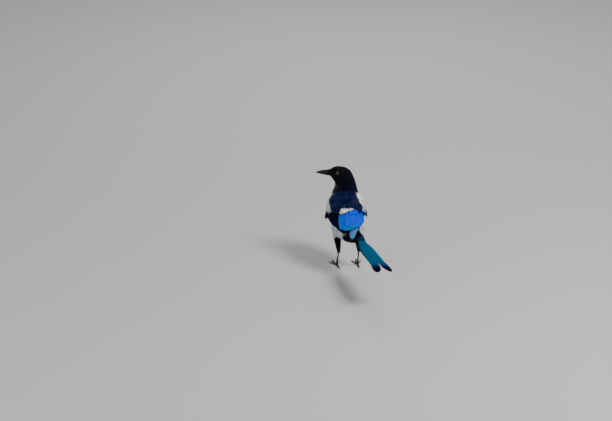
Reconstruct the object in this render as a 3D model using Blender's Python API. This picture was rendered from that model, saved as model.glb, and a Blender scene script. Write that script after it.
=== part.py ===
"""A Eurasian magpie, life size, standing and looking over its left side, as closed solids.

Run with blender --background --python part.py, or from the text editor. Metres, +Z up. The
bird heads along +Y, its right side is at +X, and its soles rest on z = 0. Sizes are written
in millimetres and degrees, and turned into metres where a mesh is made.
"""

import math
from collections import namedtuple

import bmesh
import bpy
import numpy as np

MM = 0.001
# What two nodes that meet keep between them.
GAP = 0.3

# The middle of the bird's box, which becomes the origin, in the bird's own millimetres.
MIDDLE_SIDE = -13.1
MIDDLE_AHEAD = -116.8

# One oval ring across the body: its centre, the way it faces, and its reach from that centre.
Ring = namedtuple("Ring", "side ahead up pitch turn half above below")

# The head looks this many degrees to the bird's left, and is placed by the point between the ears.
HEAD_TURN = 78.0
HEAD_SIDE = -8.4
HEAD_AHEAD = 22.0

# Torso and neck from the tail's root forward.
TRUNK = [
    Ring(6.5, -88, 90.0, 0, 0, 9.5, 5.0, 6.0),
    Ring(4.0, -78, 90.0, 8, 4, 13.5, 8.5, 11.5),
    Ring(-0.5, -62, 91.0, 16, 6, 20.5, 14.5, 21.0),
    Ring(-3.8, -42, 95.5, 26, 4, 28.5, 25.0, 33.0),
    Ring(-5.2, -20, 104.0, 34, 1, 34.0, 34.5, 48.0),
    Ring(-5.2, 1, 117.0, 42, -2, 36.0, 39.0, 53.0),
    Ring(-4.4, 17, 132.0, 51, -2, 35.5, 38.5, 47.5),
    Ring(-2.8, 26, 148.0, 61, 0, 33.0, 34.5, 38.0),
    Ring(-1.3, 28, 163.0, 73, 10, 27.5, 28.5, 30.5),
    Ring(-1.0, 23, 177.0, 84, 38, 23.3, 24.0, 24.0),
]

# The head, by how far each ring lies towards the bill from the point between the ears.
HeadRing = namedtuple("HeadRing", "towards_bill up pitch half above below")
HEAD = [
    HeadRing(-4.6, 188.0, 68, 20.8, 22.3, 22.0),
    HeadRing(1.8, 199.2, 48, 18.6, 22.0, 20.0),
    HeadRing(12.4, 204.6, 28, 16.6, 18.0, 15.8),
    HeadRing(20.2, 206.4, 12, 12.8, 13.2, 11.8),
    HeadRing(26.0, 206.8, 0, 8.2, 7.6, 7.3),
]


def head_place(towards_bill, side=0.0):
    """A point's side and ahead in the bird's frame, from its place along and across the head."""
    turn = math.radians(HEAD_TURN)
    return (
        HEAD_SIDE - towards_bill * math.sin(turn) + side * math.cos(turn),
        HEAD_AHEAD + towards_bill * math.cos(turn) + side * math.sin(turn),
    )


def head_rings():
    """The head's rings in the bird's own frame."""
    turns = [66, 76] + [HEAD_TURN] * (len(HEAD) - 2)
    return [
        Ring(*head_place(ring.towards_bill), ring.up, ring.pitch, turn, *ring[3:])
        for ring, turn in zip(HEAD, turns)
    ]


class Profile:
    """Smooth cubic curves through rows of numbers, each row given at its own length."""

    def __init__(self, lengths, rows):
        self.lengths = np.array(lengths, float)
        self.values = np.array(rows, float)
        steps = np.diff(self.lengths)[:, None]
        chords = np.diff(self.values, axis=0) / steps
        inner = (chords[:-1] * steps[1:] + chords[1:] * steps[:-1]) / (steps[:-1] + steps[1:])
        self.slopes = np.vstack([chords[:1], inner, chords[-1:]])

    def at(self, length):
        last = len(self.lengths) - 2
        i = int(np.clip(np.searchsorted(self.lengths, length) - 1, 0, last))
        step = self.lengths[i + 1] - self.lengths[i]
        x = (length - self.lengths[i]) / step
        return (
            (1 + 2 * x) * (1 - x) ** 2 * self.values[i]
            + x * (1 - x) ** 2 * step * self.slopes[i]
            + x * x * (3 - 2 * x) * self.values[i + 1]
            + x * x * (x - 1) * step * self.slopes[i + 1]
        )


class Tube:
    """A smooth tube through oval rings; a place on it is a length, an angle from the back's
    middle line, positive to the right, and a lift off the surface."""

    def __init__(self, rings):
        centres = np.array(rings, float)[:, :3]
        steps = np.linalg.norm(np.diff(centres, axis=0), axis=1)
        self.lengths = np.concatenate([[0.0], np.cumsum(steps)])
        self.profile = Profile(self.lengths, rings)

    def ring(self, length):
        return Ring(*self.profile.at(length))

    def axes(self, length):
        """Centre, right-hand and outward-from-the-back directions of the ring at a length."""
        ring = self.ring(length)
        turn = math.radians(ring.turn)
        pitch = math.radians(ring.pitch)
        right = np.array([math.cos(turn), math.sin(turn), 0.0])
        heading = np.array([-math.sin(turn), math.cos(turn), 0.0])
        back = -heading * math.sin(pitch) + np.array([0.0, 0.0, math.cos(pitch)])
        forward = heading * math.cos(pitch) + np.array([0.0, 0.0, math.sin(pitch)])
        return np.array([ring.side, ring.ahead, ring.up]), right, back, forward

    def point(self, length, angle, lift=0.0):
        """The point at a length, an angle in degrees and a lift off the surface."""
        ring = self.ring(length)
        centre, right, back, _ = self.axes(length)
        radians = math.radians(angle)
        reach = ring.above if math.cos(radians) > 0 else ring.below
        return (
            centre
            + right * (ring.half + lift) * math.sin(radians)
            + back * (reach + lift) * math.cos(radians)
        )

    def outline(self, length, sides, lift=0.0):
        """All points of the ring at a length."""
        return [self.point(length, 360.0 * i / sides, lift) for i in range(sides)]


def mix(a, b, share):
    return a + (b - a) * share


def smooth(low, high, x):
    """A smooth step from 0 at low to 1 at high."""
    share = min(max((x - low) / (high - low), 0.0), 1.0)
    return share * share * (3 - 2 * share)


# What each kind of node looks like in the photograph: its colour, roughness and metallic.
SURFACES = {
    "head": ("0a0c16", 0.5, 0.0),
    "neck": ("0c1430", 0.5, 0.0),
    "torso": ("101a3c", 0.55, 0.0),
    "wing": ("0c5cc4", 0.4, 0.1),
    "tail": ("0a5870", 0.35, 0.1),
    "thigh": ("0e0e14", 0.7, 0.0),
    "shank": ("16161a", 0.45, 0.0),
    "foot": ("141418", 0.5, 0.0),
    "claw": ("101014", 0.3, 0.0),
    "eye": ("080606", 0.08, 0.0),
    "bill": ("0e0e12", 0.35, 0.0),
}


def linear(channel):
    """One channel of a screen colour, 0 to 255, as a linear value."""
    share = channel / 255
    if share <= 0.04045:
        return share / 12.92
    return ((share + 0.055) / 1.055) ** 2.4


def give_material(thing):
    """Gives a node its own plain material, by the kind that its name begins with."""
    colour, roughness, metallic = SURFACES[thing.name.split("_")[0]]
    made = bpy.data.materials.new(thing.name + " surface")
    made.use_nodes = True
    surface = made.node_tree.nodes["Principled BSDF"]
    channels = [linear(channel) for channel in bytes.fromhex(colour)]
    surface.inputs["Base Color"].default_value = (*channels, 1.0)
    surface.inputs["Roughness"].default_value = roughness
    surface.inputs["Metallic"].default_value = metallic
    thing.data.materials.clear()
    thing.data.materials.append(made)


def to_object(name, bm, collection):
    """A mesh in millimetres of the bird's own frame, made an object in metres."""
    for vertex in bm.verts:
        vertex.co.x = (vertex.co.x - MIDDLE_SIDE) * MM
        vertex.co.y = (vertex.co.y - MIDDLE_AHEAD) * MM
        vertex.co.z *= MM
    bmesh.ops.recalc_face_normals(bm, faces=bm.faces)
    mesh = bpy.data.meshes.new(name)
    bm.to_mesh(mesh)
    bm.free()
    made = bpy.data.objects.new(name, mesh)
    collection.objects.link(made)
    return made


def loft(name, rings, collection):
    """A closed body through rings of equally many points, the first and last ring capped."""
    bm = bmesh.new()
    rows = [[bm.verts.new(point) for point in ring] for ring in rings]
    for row, following in zip(rows, rows[1:]):
        for i in range(len(row)):
            j = (i + 1) % len(row)
            bm.faces.new((row[i], row[j], following[j], following[i]))
    bm.faces.new(rows[0][::-1])
    bm.faces.new(rows[-1])
    return to_object(name, bm, collection)


def tube(name, points, radii, collection, sides=10):
    """A round tube along a curve, its radius given at each point, made a closed mesh."""
    curve = bpy.data.curves.new(name, "CURVE")
    curve.dimensions = "3D"
    curve.bevel_depth = MM
    curve.bevel_resolution = sides // 2 - 2
    curve.use_fill_caps = True
    spline = curve.splines.new("POLY")
    spline.points.add(len(points) - 1)
    for knot, point, radius in zip(spline.points, points, radii):
        side, ahead, up = point
        knot.co = ((side - MIDDLE_SIDE) * MM, (ahead - MIDDLE_AHEAD) * MM, up * MM, 1.0)
        knot.radius = radius
    guide = bpy.data.objects.new(name + "_curve", curve)
    collection.objects.link(guide)
    bpy.context.view_layer.update()
    depsgraph = bpy.context.evaluated_depsgraph_get()
    mesh = bpy.data.meshes.new_from_object(guide.evaluated_get(depsgraph))
    bm = bmesh.new()
    bm.from_mesh(mesh)
    bmesh.ops.remove_doubles(bm, verts=bm.verts, dist=1e-6)
    bmesh.ops.recalc_face_normals(bm, faces=bm.faces)
    bm.to_mesh(mesh)
    bm.free()
    bpy.data.objects.remove(guide)
    made = bpy.data.objects.new(name, mesh)
    collection.objects.link(made)
    return made


# A feather's vane: its thickness, and its half width along it as a share of its widest.
VANE_THICKNESS = 0.55
VANE_STATIONS = (0.0, 0.25, 0.5, 0.75, 0.92, 1.0)
VANE_WIDTHS = (0.4, 0.9, 1.0, 0.97, 0.72, 0.25)
# Small steps for reading the slope of a sheet, and of a path along it.
SHEET_STEP = 0.5
PATH_STEP = 0.02


def sideways(sheet, length, angle, way, distance):
    """The place on a sheet a distance to one side of another, square to the way given."""
    here = sheet.point(length, angle)
    along = (sheet.point(length + SHEET_STEP, angle) - here) / SHEET_STEP
    around = (sheet.point(length, angle + SHEET_STEP) - here) / SHEET_STEP
    side = np.cross(way, np.cross(around, along))
    side *= distance / np.linalg.norm(side)
    more, *_ = np.linalg.lstsq(np.column_stack([along, around]), side, rcond=None)
    return length + more[0], angle + more[1]


def vane(name, sheet, path, half_width, lift, collection):
    """A feather as a thin vane on a sheet. Its path gives a place for each share of its length,
    and its lift is given for a share and for -1, 0 or 1 across. Both faces are split alike."""
    bm = bmesh.new()
    rows = []
    for share, width in zip(VANE_STATIONS, VANE_WIDTHS):
        length, angle = path(share)
        before = sheet.point(*path(max(share - PATH_STEP, 0.0)))
        after = sheet.point(*path(min(share + PATH_STEP, 1.0)))
        top, bottom = [], []
        for across in (-1, 0, 1):
            place = sideways(
                sheet, length, angle, after - before, across * width * half_width
            )
            height = lift(share, across)
            top.append(bm.verts.new(sheet.point(*place, height + VANE_THICKNESS)))
            bottom.append(bm.verts.new(sheet.point(*place, height)))
        rows.append((top, bottom))
    for (top, bottom), (next_top, next_bottom) in zip(rows, rows[1:]):
        for i in (0, 1):
            bm.faces.new((top[i], top[i + 1], next_top[i + 1]))
            bm.faces.new((top[i], next_top[i + 1], next_top[i]))
            bm.faces.new((bottom[i], next_bottom[i + 1], bottom[i + 1]))
            bm.faces.new((bottom[i], next_bottom[i], next_bottom[i + 1]))
        for i in (0, 2):
            bm.faces.new((top[i], next_top[i], next_bottom[i]))
            bm.faces.new((top[i], next_bottom[i], bottom[i]))
    for top, bottom in (rows[0], rows[-1]):
        for i in (0, 1):
            bm.faces.new((top[i], bottom[i], bottom[i + 1], top[i + 1]))
    return to_object(name, bm, collection)


def ball(name, centre, radii, collection, turn=0.0, segments=16, rings=10):
    """A round or oval ball, its first radius across, turned about the vertical."""
    bm = bmesh.new()
    bmesh.ops.create_uvsphere(bm, u_segments=segments, v_segments=rings, radius=1.0)
    cosine = math.cos(math.radians(turn))
    sine = math.sin(math.radians(turn))
    for vertex in bm.verts:
        x, y, z = (vertex.co[i] * radii[i] for i in range(3))
        vertex.co = (
            centre[0] + x * cosine - y * sine,
            centre[1] + x * sine + y * cosine,
            centre[2] + z,
        )
    return to_object(name, bm, collection)


def evaluated_copy(source, name, collection):
    """The object with its modifiers applied, as a new object of its own."""
    bpy.context.view_layer.update()
    depsgraph = bpy.context.evaluated_depsgraph_get()
    mesh = bpy.data.meshes.new_from_object(source.evaluated_get(depsgraph))
    mesh.name = name
    made = bpy.data.objects.new(name, mesh)
    made.matrix_world = source.matrix_world
    collection.objects.link(made)
    return made


def keep_largest(thing):
    """Leaves only the largest closed surface of a mesh."""
    bm = bmesh.new()
    bm.from_mesh(thing.data)
    waiting = set(bm.faces)
    pieces = []
    while waiting:
        front = [waiting.pop()]
        piece = list(front)
        while front:
            face = front.pop()
            near = {other for edge in face.edges for other in edge.link_faces} & waiting
            waiting -= near
            piece += near
            front += near
        pieces.append(piece)
    pieces.sort(key=lambda faces: sum(face.calc_area() for face in faces))
    for piece in pieces[:-1]:
        bmesh.ops.delete(bm, geom=piece, context="FACES")
    bm.to_mesh(thing.data)
    bm.free()


def combine(base, others, operation, solver="EXACT"):
    """Joins other closed bodies to the base, or cuts them from it, and removes them."""
    name = base.name
    group = bpy.data.collections.new(name + "_pieces")
    for other in others:
        for holder in list(other.users_collection):
            holder.objects.unlink(other)
        group.objects.link(other)
    step = base.modifiers.new("combine", "BOOLEAN")
    step.operation = operation
    step.operand_type = "COLLECTION"
    step.collection = group
    step.solver = solver
    home = base.users_collection[0]
    base.name = name + "_base"
    made = evaluated_copy(base, name, home)
    bpy.data.objects.remove(base)
    for other in list(group.objects):
        bpy.data.objects.remove(other)
    bpy.data.collections.remove(group)
    keep_largest(made)
    return made


def cut_off(thing, point, facing):
    """Cuts off what lies past a plane, given in metres by a point and its facing."""
    bm = bmesh.new()
    bm.from_mesh(thing.data)
    bmesh.ops.bisect_plane(
        bm,
        geom=list(bm.verts) + list(bm.edges) + list(bm.faces),
        dist=1e-7,
        plane_co=point,
        plane_no=facing,
        clear_outer=True,
    )
    rim = [edge for edge in bm.edges if edge.is_boundary]
    bmesh.ops.holes_fill(bm, edges=rim)
    bmesh.ops.recalc_face_normals(bm, faces=bm.faces)
    bm.to_mesh(thing.data)
    bm.free()


def part_at(whole, name, centre, facing, collection):
    """Parts a body by a thin cut, and returns what lies ahead of the cut as a new one."""
    ahead = bpy.data.objects.new(name, whole.data.copy())
    collection.objects.link(ahead)
    centre = np.array([centre[0] - MIDDLE_SIDE, centre[1] - MIDDLE_AHEAD, centre[2]]) * MM
    half_gap = facing * GAP * MM / 2
    cut_off(whole, centre - half_gap, facing)
    cut_off(ahead, centre + half_gap, -facing)
    return ahead


# Eyes and lids, placed in the head: towards the bill, up, and out from the middle plane.
EYE_TOWARDS_BILL = 11.2
EYE_UP = 209.0
EYE_OUT = 12.9
EYE_RADIUS = 4.8
# The lids are a ring round the eye, a little lower than long, whose front lies nearer the
# middle plane because the face narrows towards the bill.
LID_RADIUS = 4.9
LID_THICKNESS = 0.95
LID_OUT = 16.0
LID_NARROWING = 0.11
LID_HEIGHT = 0.9
LID_SEGMENTS = 16
LID_SIDES = 6


def lid_ring(name, side, collection):
    """The ring of lids round one eye, a torus that faces out of the head."""
    bm = bmesh.new()
    rows = []
    for i in range(LID_SEGMENTS):
        a = 2 * math.pi * i / LID_SEGMENTS
        row = []
        for j in range(LID_SIDES):
            b = 2 * math.pi * j / LID_SIDES
            reach = LID_RADIUS + LID_THICKNESS * math.cos(b)
            out = LID_OUT + LID_THICKNESS * math.sin(b) - LID_NARROWING * reach * math.cos(a)
            place = head_place(EYE_TOWARDS_BILL + reach * math.cos(a), side * out)
            row.append(bm.verts.new((*place, EYE_UP + LID_HEIGHT * reach * math.sin(a))))
        rows.append(row)
    for i in range(LID_SEGMENTS):
        row, following = rows[i], rows[(i + 1) % LID_SEGMENTS]
        for j in range(LID_SIDES):
            k = (j + 1) % LID_SIDES
            bm.faces.new((row[j], row[k], following[k], following[j]))
    return to_object(name, bm, collection)


def make_eye(name, side, collection, radius=EYE_RADIUS):
    centre = (*head_place(EYE_TOWARDS_BILL, side * EYE_OUT), EYE_UP)
    return ball(name, centre, (radius, radius, radius), collection)


# The bill along the head: half width, top, mouth line and underside, from its root to its tip.
BillRing = namedtuple("BillRing", "towards_bill half top mouth under")
BILL = [
    BillRing(26.3, 6.9, 213.6, 203.4, 199.8),
    BillRing(32.0, 6.2, 213.6, 203.9, 200.6),
    BillRing(39.0, 5.0, 213.2, 204.8, 202.0),
    BillRing(46.0, 3.8, 212.0, 205.6, 203.6),
    BillRing(52.0, 2.5, 210.2, 206.2, 205.0),
    BillRing(56.0, 1.3, 208.2, 206.5, 205.8),
]
BILL_TIP = BillRing(58.2, 0.45, 206.9, 206.2, 205.9)
BILL_SIDES = 16
BILL_THINNEST = 0.3
# The flat side of each half of the bill bulges this far towards the mouth line, and the lower
# half is a little narrower than the upper one.
UPPER_FLAT = 0.5
LOWER_FLAT = 0.3
LOWER_WIDTH = 0.92
# The nostrils and the corner of the mouth: towards the bill, up, and the cutter's radii.
NOSTRIL_TOWARDS_BILL = 32.5
NOSTRIL_UP = 209.4
NOSTRIL_OUT = 6.0
NOSTRIL_RADII = (0.9, 1.9, 0.9)
GAPE_TOWARDS_BILL = 25.0
GAPE_UP = 203.4
GAPE_RADII = (9.5, 7.0, 0.35)


def oval(towards_bill, up, half, above, below, sides):
    """An upright ring across the head or bill."""
    ring = []
    for i in range(sides):
        a = 2 * math.pi * i / sides
        reach = above if math.cos(a) > 0 else below
        place = head_place(towards_bill, half * math.sin(a))
        ring.append((*place, up + reach * math.cos(a)))
    return ring


def make_upper_bill(collection):
    rings = []
    for ring in BILL + [BILL_TIP]:
        up = ring.mouth + GAP / 2 + UPPER_FLAT
        above = max(ring.top - up, BILL_THINNEST)
        rings.append(oval(ring.towards_bill, up, ring.half, above, UPPER_FLAT, BILL_SIDES))
    bill = loft("bill_upper", rings, collection)
    nostrils = []
    for side in (-1, 1):
        centre = (*head_place(NOSTRIL_TOWARDS_BILL, side * NOSTRIL_OUT), NOSTRIL_UP)
        nostrils.append(
            ball("nostril", centre, NOSTRIL_RADII, collection, HEAD_TURN, segments=10, rings=6)
        )
    combine(bill, nostrils, "DIFFERENCE")


def make_lower_bill(collection):
    rings = []
    for ring in BILL:
        up = ring.mouth - GAP / 2 - LOWER_FLAT
        below = max(up - ring.under, BILL_THINNEST)
        half = ring.half * LOWER_WIDTH
        rings.append(oval(ring.towards_bill, up, half, LOWER_FLAT, below, BILL_SIDES))
    loft("bill_lower", rings, collection)


BODY_SIDES = 32
TRUNK_STEP = 6.0
HEAD_STEP = 3.0
# The cuts that part head, neck and torso, as lengths along the whole body.
NECK_CUT_BELOW_HEAD = 5.0
TORSO_CUT_BELOW_NECK = 6.0


def make_head_neck_torso(body, collection):
    """The trunk and head as one tube, parted by two thin cuts, with eye sockets and lids."""
    neck_top = body.lengths[len(TRUNK)]
    neck_root = body.lengths[len(TRUNK) - 2]
    end = body.lengths[-1]
    trunk = np.linspace(0.0, neck_top, round(neck_top / TRUNK_STEP) + 1)
    skull = np.linspace(neck_top, end, round((end - neck_top) / HEAD_STEP) + 1)
    lengths = list(trunk) + list(skull[1:])
    torso = loft("torso", [body.outline(s, BODY_SIDES) for s in lengths], collection)

    centre, _, _, forward = body.axes(neck_root + TORSO_CUT_BELOW_NECK)
    neck = part_at(torso, "neck", centre, forward, collection)
    centre, _, _, forward = body.axes(neck_top - NECK_CUT_BELOW_HEAD)
    head = part_at(neck, "head", centre, forward, collection)

    lids = [lid_ring("lids", side, collection) for side in (-1, 1)]
    head = combine(head, lids, "UNION")
    sockets = [make_eye("socket", side, collection, EYE_RADIUS + GAP) for side in (-1, 1)]
    corner = (*head_place(GAPE_TOWARDS_BILL), GAPE_UP)
    gape = ball("gape", corner, GAPE_RADII, collection, HEAD_TURN)
    combine(head, sockets + [gape], "DIFFERENCE")
    for name, side in (("eye_left", -1), ("eye_right", 1)):
        make_eye(name, side, collection)


# The folded wings lie on the trunk, and past its end on this wider sheet over the tail's root.
WING_SHEET = [
    Ring(5.5, -132, 92.0, 2, 4, 14.5, 6.0, 6.0),
    Ring(4.0, -104, 91.5, 2, 4, 16.5, 7.0, 7.0),
    Ring(1.5, -80, 90.5, 8, 5, 19.5, 10.5, 13.0),
    Ring(-0.8, -62, 91.0, 16, 6, 23.0, 15.5, 22.0),
    Ring(-3.8, -42, 95.5, 26, 4, 29.5, 26.0, 34.0),
] + TRUNK[4:]


# The tail: where its root meets the torso, its longest feather, and how it swings aside.
TAIL_ROOT_AHEAD = -88.0
TAIL_ROOT_SIDE = 6.5
TAIL_SWING = 0.035
TAIL_UP = 90.0
TAIL_ARCH = 0.006
# Each pair lies this much lower than the one nearer the middle.
TAIL_LEVEL = 0.87
# The tail's root: how far behind the body each ring lies, and its reach aside, up and down.
TAIL_ROOT = [(GAP, 9.3, 4.8, 5.8), (10.0, 9.0, 3.8, 4.4), (20.0, 8.2, 3.0, 3.4), (28.0, 7.0, 2.2, 2.6)]
TAIL_ROOT_SIDES = 16
VANE_ROOT_BACK = 4.0
# The feathers spread from this share of their length on.
TAIL_SPREAD_FROM = 0.55
# Each pair from the middle out: length past the body, half width, and distance from the
# middle line at the root, the middle and the tip.
TailPair = namedtuple("TailPair", "length half_width root middle tip")
TAIL_PAIRS = [
    TailPair(206, 8.6, 3.9, 7.4, 14.0),
    TailPair(184, 7.4, 3.9, 8.2, 11.5),
    TailPair(160, 7.2, 3.9, 8.4, 10.8),
    TailPair(136, 7.0, 3.9, 8.5, 10.6),
    TailPair(115, 6.8, 3.9, 8.6, 10.6),
    TailPair(94, 6.6, 3.9, 8.7, 10.6),
]


class TailSheet:
    """The gently arched sheet that the tail feathers lie on; a place on it is a distance behind
    the body and a distance to the right of the tail's middle line."""

    def point(self, back, aside, lift=0.0):
        side = TAIL_ROOT_SIDE + TAIL_SWING * back + aside
        up = TAIL_UP + lift - TAIL_ARCH * aside * aside
        return np.array([side, TAIL_ROOT_AHEAD - back, up])


def make_tail(collection):
    """The folded tail: a root that meets the torso, and six pairs of graduated feathers."""
    rings = []
    for back, half, above, below in TAIL_ROOT:
        middle = TAIL_ROOT_SIDE + TAIL_SWING * back
        ring = []
        for i in range(TAIL_ROOT_SIDES):
            a = 2 * math.pi * i / TAIL_ROOT_SIDES
            reach = above if math.cos(a) > 0 else below
            up = TAIL_UP + reach * math.cos(a)
            ring.append((middle + half * math.sin(a), TAIL_ROOT_AHEAD - back, up))
        rings.append(ring)
    root = loft("tail", rings, collection)
    sheet = TailSheet()
    vanes = []
    for number, pair in enumerate(TAIL_PAIRS):
        for side in (-1, 1):
            level = (len(TAIL_PAIRS) / 2 - number) * TAIL_LEVEL
            if number == 0 and side < 0:
                level += TAIL_LEVEL

            def path(share, pair=pair, side=side):
                bend = max(share - TAIL_SPREAD_FROM, 0.0) / (1 - TAIL_SPREAD_FROM)
                aside = mix(pair.root, pair.middle, smooth(0.0, 0.6, share))
                aside = mix(aside, pair.tip, bend * bend)
                return mix(VANE_ROOT_BACK, pair.length, share), side * aside

            def lift(share, across, level=level):
                return level - VANE_THICKNESS

            vanes.append(vane("feather", sheet, path, pair.half_width, lift, collection))
    combine(root, vanes, "UNION", "MANIFOLD")


# The covert-clad front of a folded wing: how far behind the shoulder its lower and upper edges
# lie, their angles from the back's middle line, its thickness, and how far it is lifted there.
WingRow = namedtuple("WingRow", "back_low back_high low high thick")
SHOULDER = -3
WING_FRONT = {
    1: [
        WingRow(8, -4, 92, 58, 1.4),
        WingRow(16, -3, 104, 50, 4.2),
        WingRow(33, 10, 103, 34, 5.0),
        WingRow(49, 29, 92, 17, 4.8),
        WingRow(61, 45, 76, 3, 3.4),
    ],
    -1: [
        WingRow(8, -4, 92, 58, 1.4),
        WingRow(16, -3, 105, 50, 4.8),
        WingRow(34, 10, 109, 36, 6.0),
        WingRow(52, 30, 103, 20, 5.6),
        WingRow(66, 46, 94, 6, 3.8),
    ],
}
# The front's lift off the sheet, its least thickness, and its points across and along.
WING_CLEAR = 0.8
WING_THINNEST = 0.7
WING_ACROSS = 8
WING_ALONG = 9
# The feathers bow this many degrees towards the back on their way.
WING_BOW = 6.0

# Each tier of a folded wing, from its outermost feather to its innermost: how many, where the
# first and last are rooted and end, half widths, lift off the sheet at root and tip, and how
# much each vane tilts to lie on the next one out.
Tier = namedtuple("Tier", "count root_first root_last tip_first tip_last widths lifts tilt")
TIERS = {
    1: [
        Tier(6, (36, 94), (50, 62), (100, 36), (162, -42), (4.6, 5.6), (2.7, 2.0), 1.4),
        Tier(6, (50, 76), (42, 2), (104, 32), (113, -42), (7.4, 8.8), (2.9, 5.6), 1.6),
        Tier(5, (31, 82), (22, 26), (68, 66), (70, -4), (7.2, 8.0), (2.6, 8.4), 1.2),
    ],
    -1: [
        Tier(5, (38, 100), (54, 80), (112, 68), (148, -6), (5.0, 6.0), (2.3, 1.9), 1.4),
        Tier(5, (54, 86), (42, 20), (114, 50), (108, -4), (8.0, 9.0), (2.5, 4.6), 1.6),
        Tier(5, (31, 86), (24, 32), (74, 84), (68, 14), (7.2, 7.6), (2.4, 6.8), 1.2),
    ],
}
# The right wing crosses the back over the left one, so it rises there by this much.
RIGHT_WING_RISE = 8.6


def wing_rise(side, back, angle):
    """How far the upper part of the right wing is lifted to lie over the left one."""
    if side < 0:
        return 0.0
    return RIGHT_WING_RISE * smooth(14, 58, back) * (1 - smooth(14, 56, angle))


def make_wing(name, sheet, side, collection):
    """One folded wing: its front as a thick patch on the sheet, and its flight feathers and
    greater coverts as tiers of vanes rooted in that."""
    shoulder = sheet.lengths[SHOULDER]
    rows = WING_FRONT[side]
    profile = Profile(np.linspace(0.0, 1.0, len(rows)), rows)
    rings = []
    for step in range(WING_ALONG + 1):
        row = WingRow(*profile.at(step / WING_ALONG))
        outer, inner = [], []
        for i in range(WING_ACROSS + 1):
            share = i / WING_ACROSS
            back = mix(row.back_low, row.back_high, share)
            angle = mix(row.low, row.high, share)
            lift = WING_CLEAR + wing_rise(side, back, angle)
            bulge = max(WING_THINNEST, row.thick * math.sin(math.pi * share) ** 0.6)
            inner.append(sheet.point(shoulder - back, side * angle, lift))
            outer.append(sheet.point(shoulder - back, side * angle, lift + bulge))
        rings.append(outer + inner[::-1])
    front = loft(name, rings, collection)

    vanes = []
    for tier in TIERS[side]:
        for number in range(tier.count):
            inward = number / (tier.count - 1)
            root = np.array([mix(a, b, inward) for a, b in zip(tier.root_first, tier.root_last)])
            tip = np.array([mix(a, b, inward) for a, b in zip(tier.tip_first, tier.tip_last)])

            def path(share, root=root, tip=tip):
                back, angle = mix(root, tip, share)
                angle -= WING_BOW * math.sin(math.pi * share)
                return shoulder - back, side * angle

            def lift(share, across, tier=tier, path=path):
                length, angle = path(share)
                outward = -across * side
                height = mix(*tier.lifts, smooth(0.0, 0.5, share))
                height += tier.tilt * (1 + outward) / 2
                return height + wing_rise(side, shoulder - length, side * angle)

            half_width = mix(*tier.widths, inward)
            vanes.append(vane("feather", sheet, path, half_width, lift, collection))
    combine(front, vanes, "UNION", "MANIFOLD")


# The room that a thigh or a claw keeps to what it grows from.
ROOM = 0.4
ROOM_RINGS = 34


def trunk_room(body, collection):
    """The trunk made a little larger, for cutting the thighs where they lie against it."""
    lengths = np.linspace(0.0, body.lengths[len(TRUNK) - 1], ROOM_RINGS)
    rings = [body.outline(s, BODY_SIDES, ROOM) for s in lengths]
    return loft("room", rings, collection)


# Each leg: where the thigh leaves the belly, the heel, and the ball of the foot.
Leg = namedtuple("Leg", "name side hip thigh heel foot toes_turn")
LEGS = [
    Leg("left", -1, (-21, 12, 92), (-25, -6, 67), (-26.5, -26, 44), (-25, 0, 2.6), 6),
    Leg("right", 1, (19, 8, 92), (19, -12, 67), (17.5, -31, 44), (20, -6, 2.6), -4),
]
# The thigh's radii from the hip to below the heel, and how far it runs on past the heel.
THIGH_RADII = (15.0, 10.6, 7.6, 5.5, 3.3, 2.8)
HEEL_LENGTH = 2.5
SHANK_RADII = (2.7, 1.9, 1.9, 2.2)
FOOT_RADII = (2.2, 2.9, 2.9, 2.0)
ANKLE_UP = 4.9
Toe = namedtuple("Toe", "name turn length radius claw")
TOES = [
    Toe("inner", 27, 19.0, 1.8, 8.0),
    Toe("middle", 2, 26.0, 2.0, 9.0),
    Toe("outer", -24, 21.0, 1.8, 8.0),
    Toe("hind", 178, 16.0, 2.1, 11.0),
]
TOE_UP = 1.55
# The toes swell by this share at each of their pads, and end this much thinner.
PAD_SWELL = 0.12
TOE_TAPER = 0.8
# A claw's radius at its root as a share of its toe's, its arch and its reach as shares of its
# length, and its tip's height and radius.
CLAW_ROOT = 0.72
CLAW_ARCH = 0.16
CLAW_REACH = 0.86
CLAW_TIP_UP = 0.6
CLAW_TIP_RADIUS = 0.25
CLAW_STEPS = 8


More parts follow.
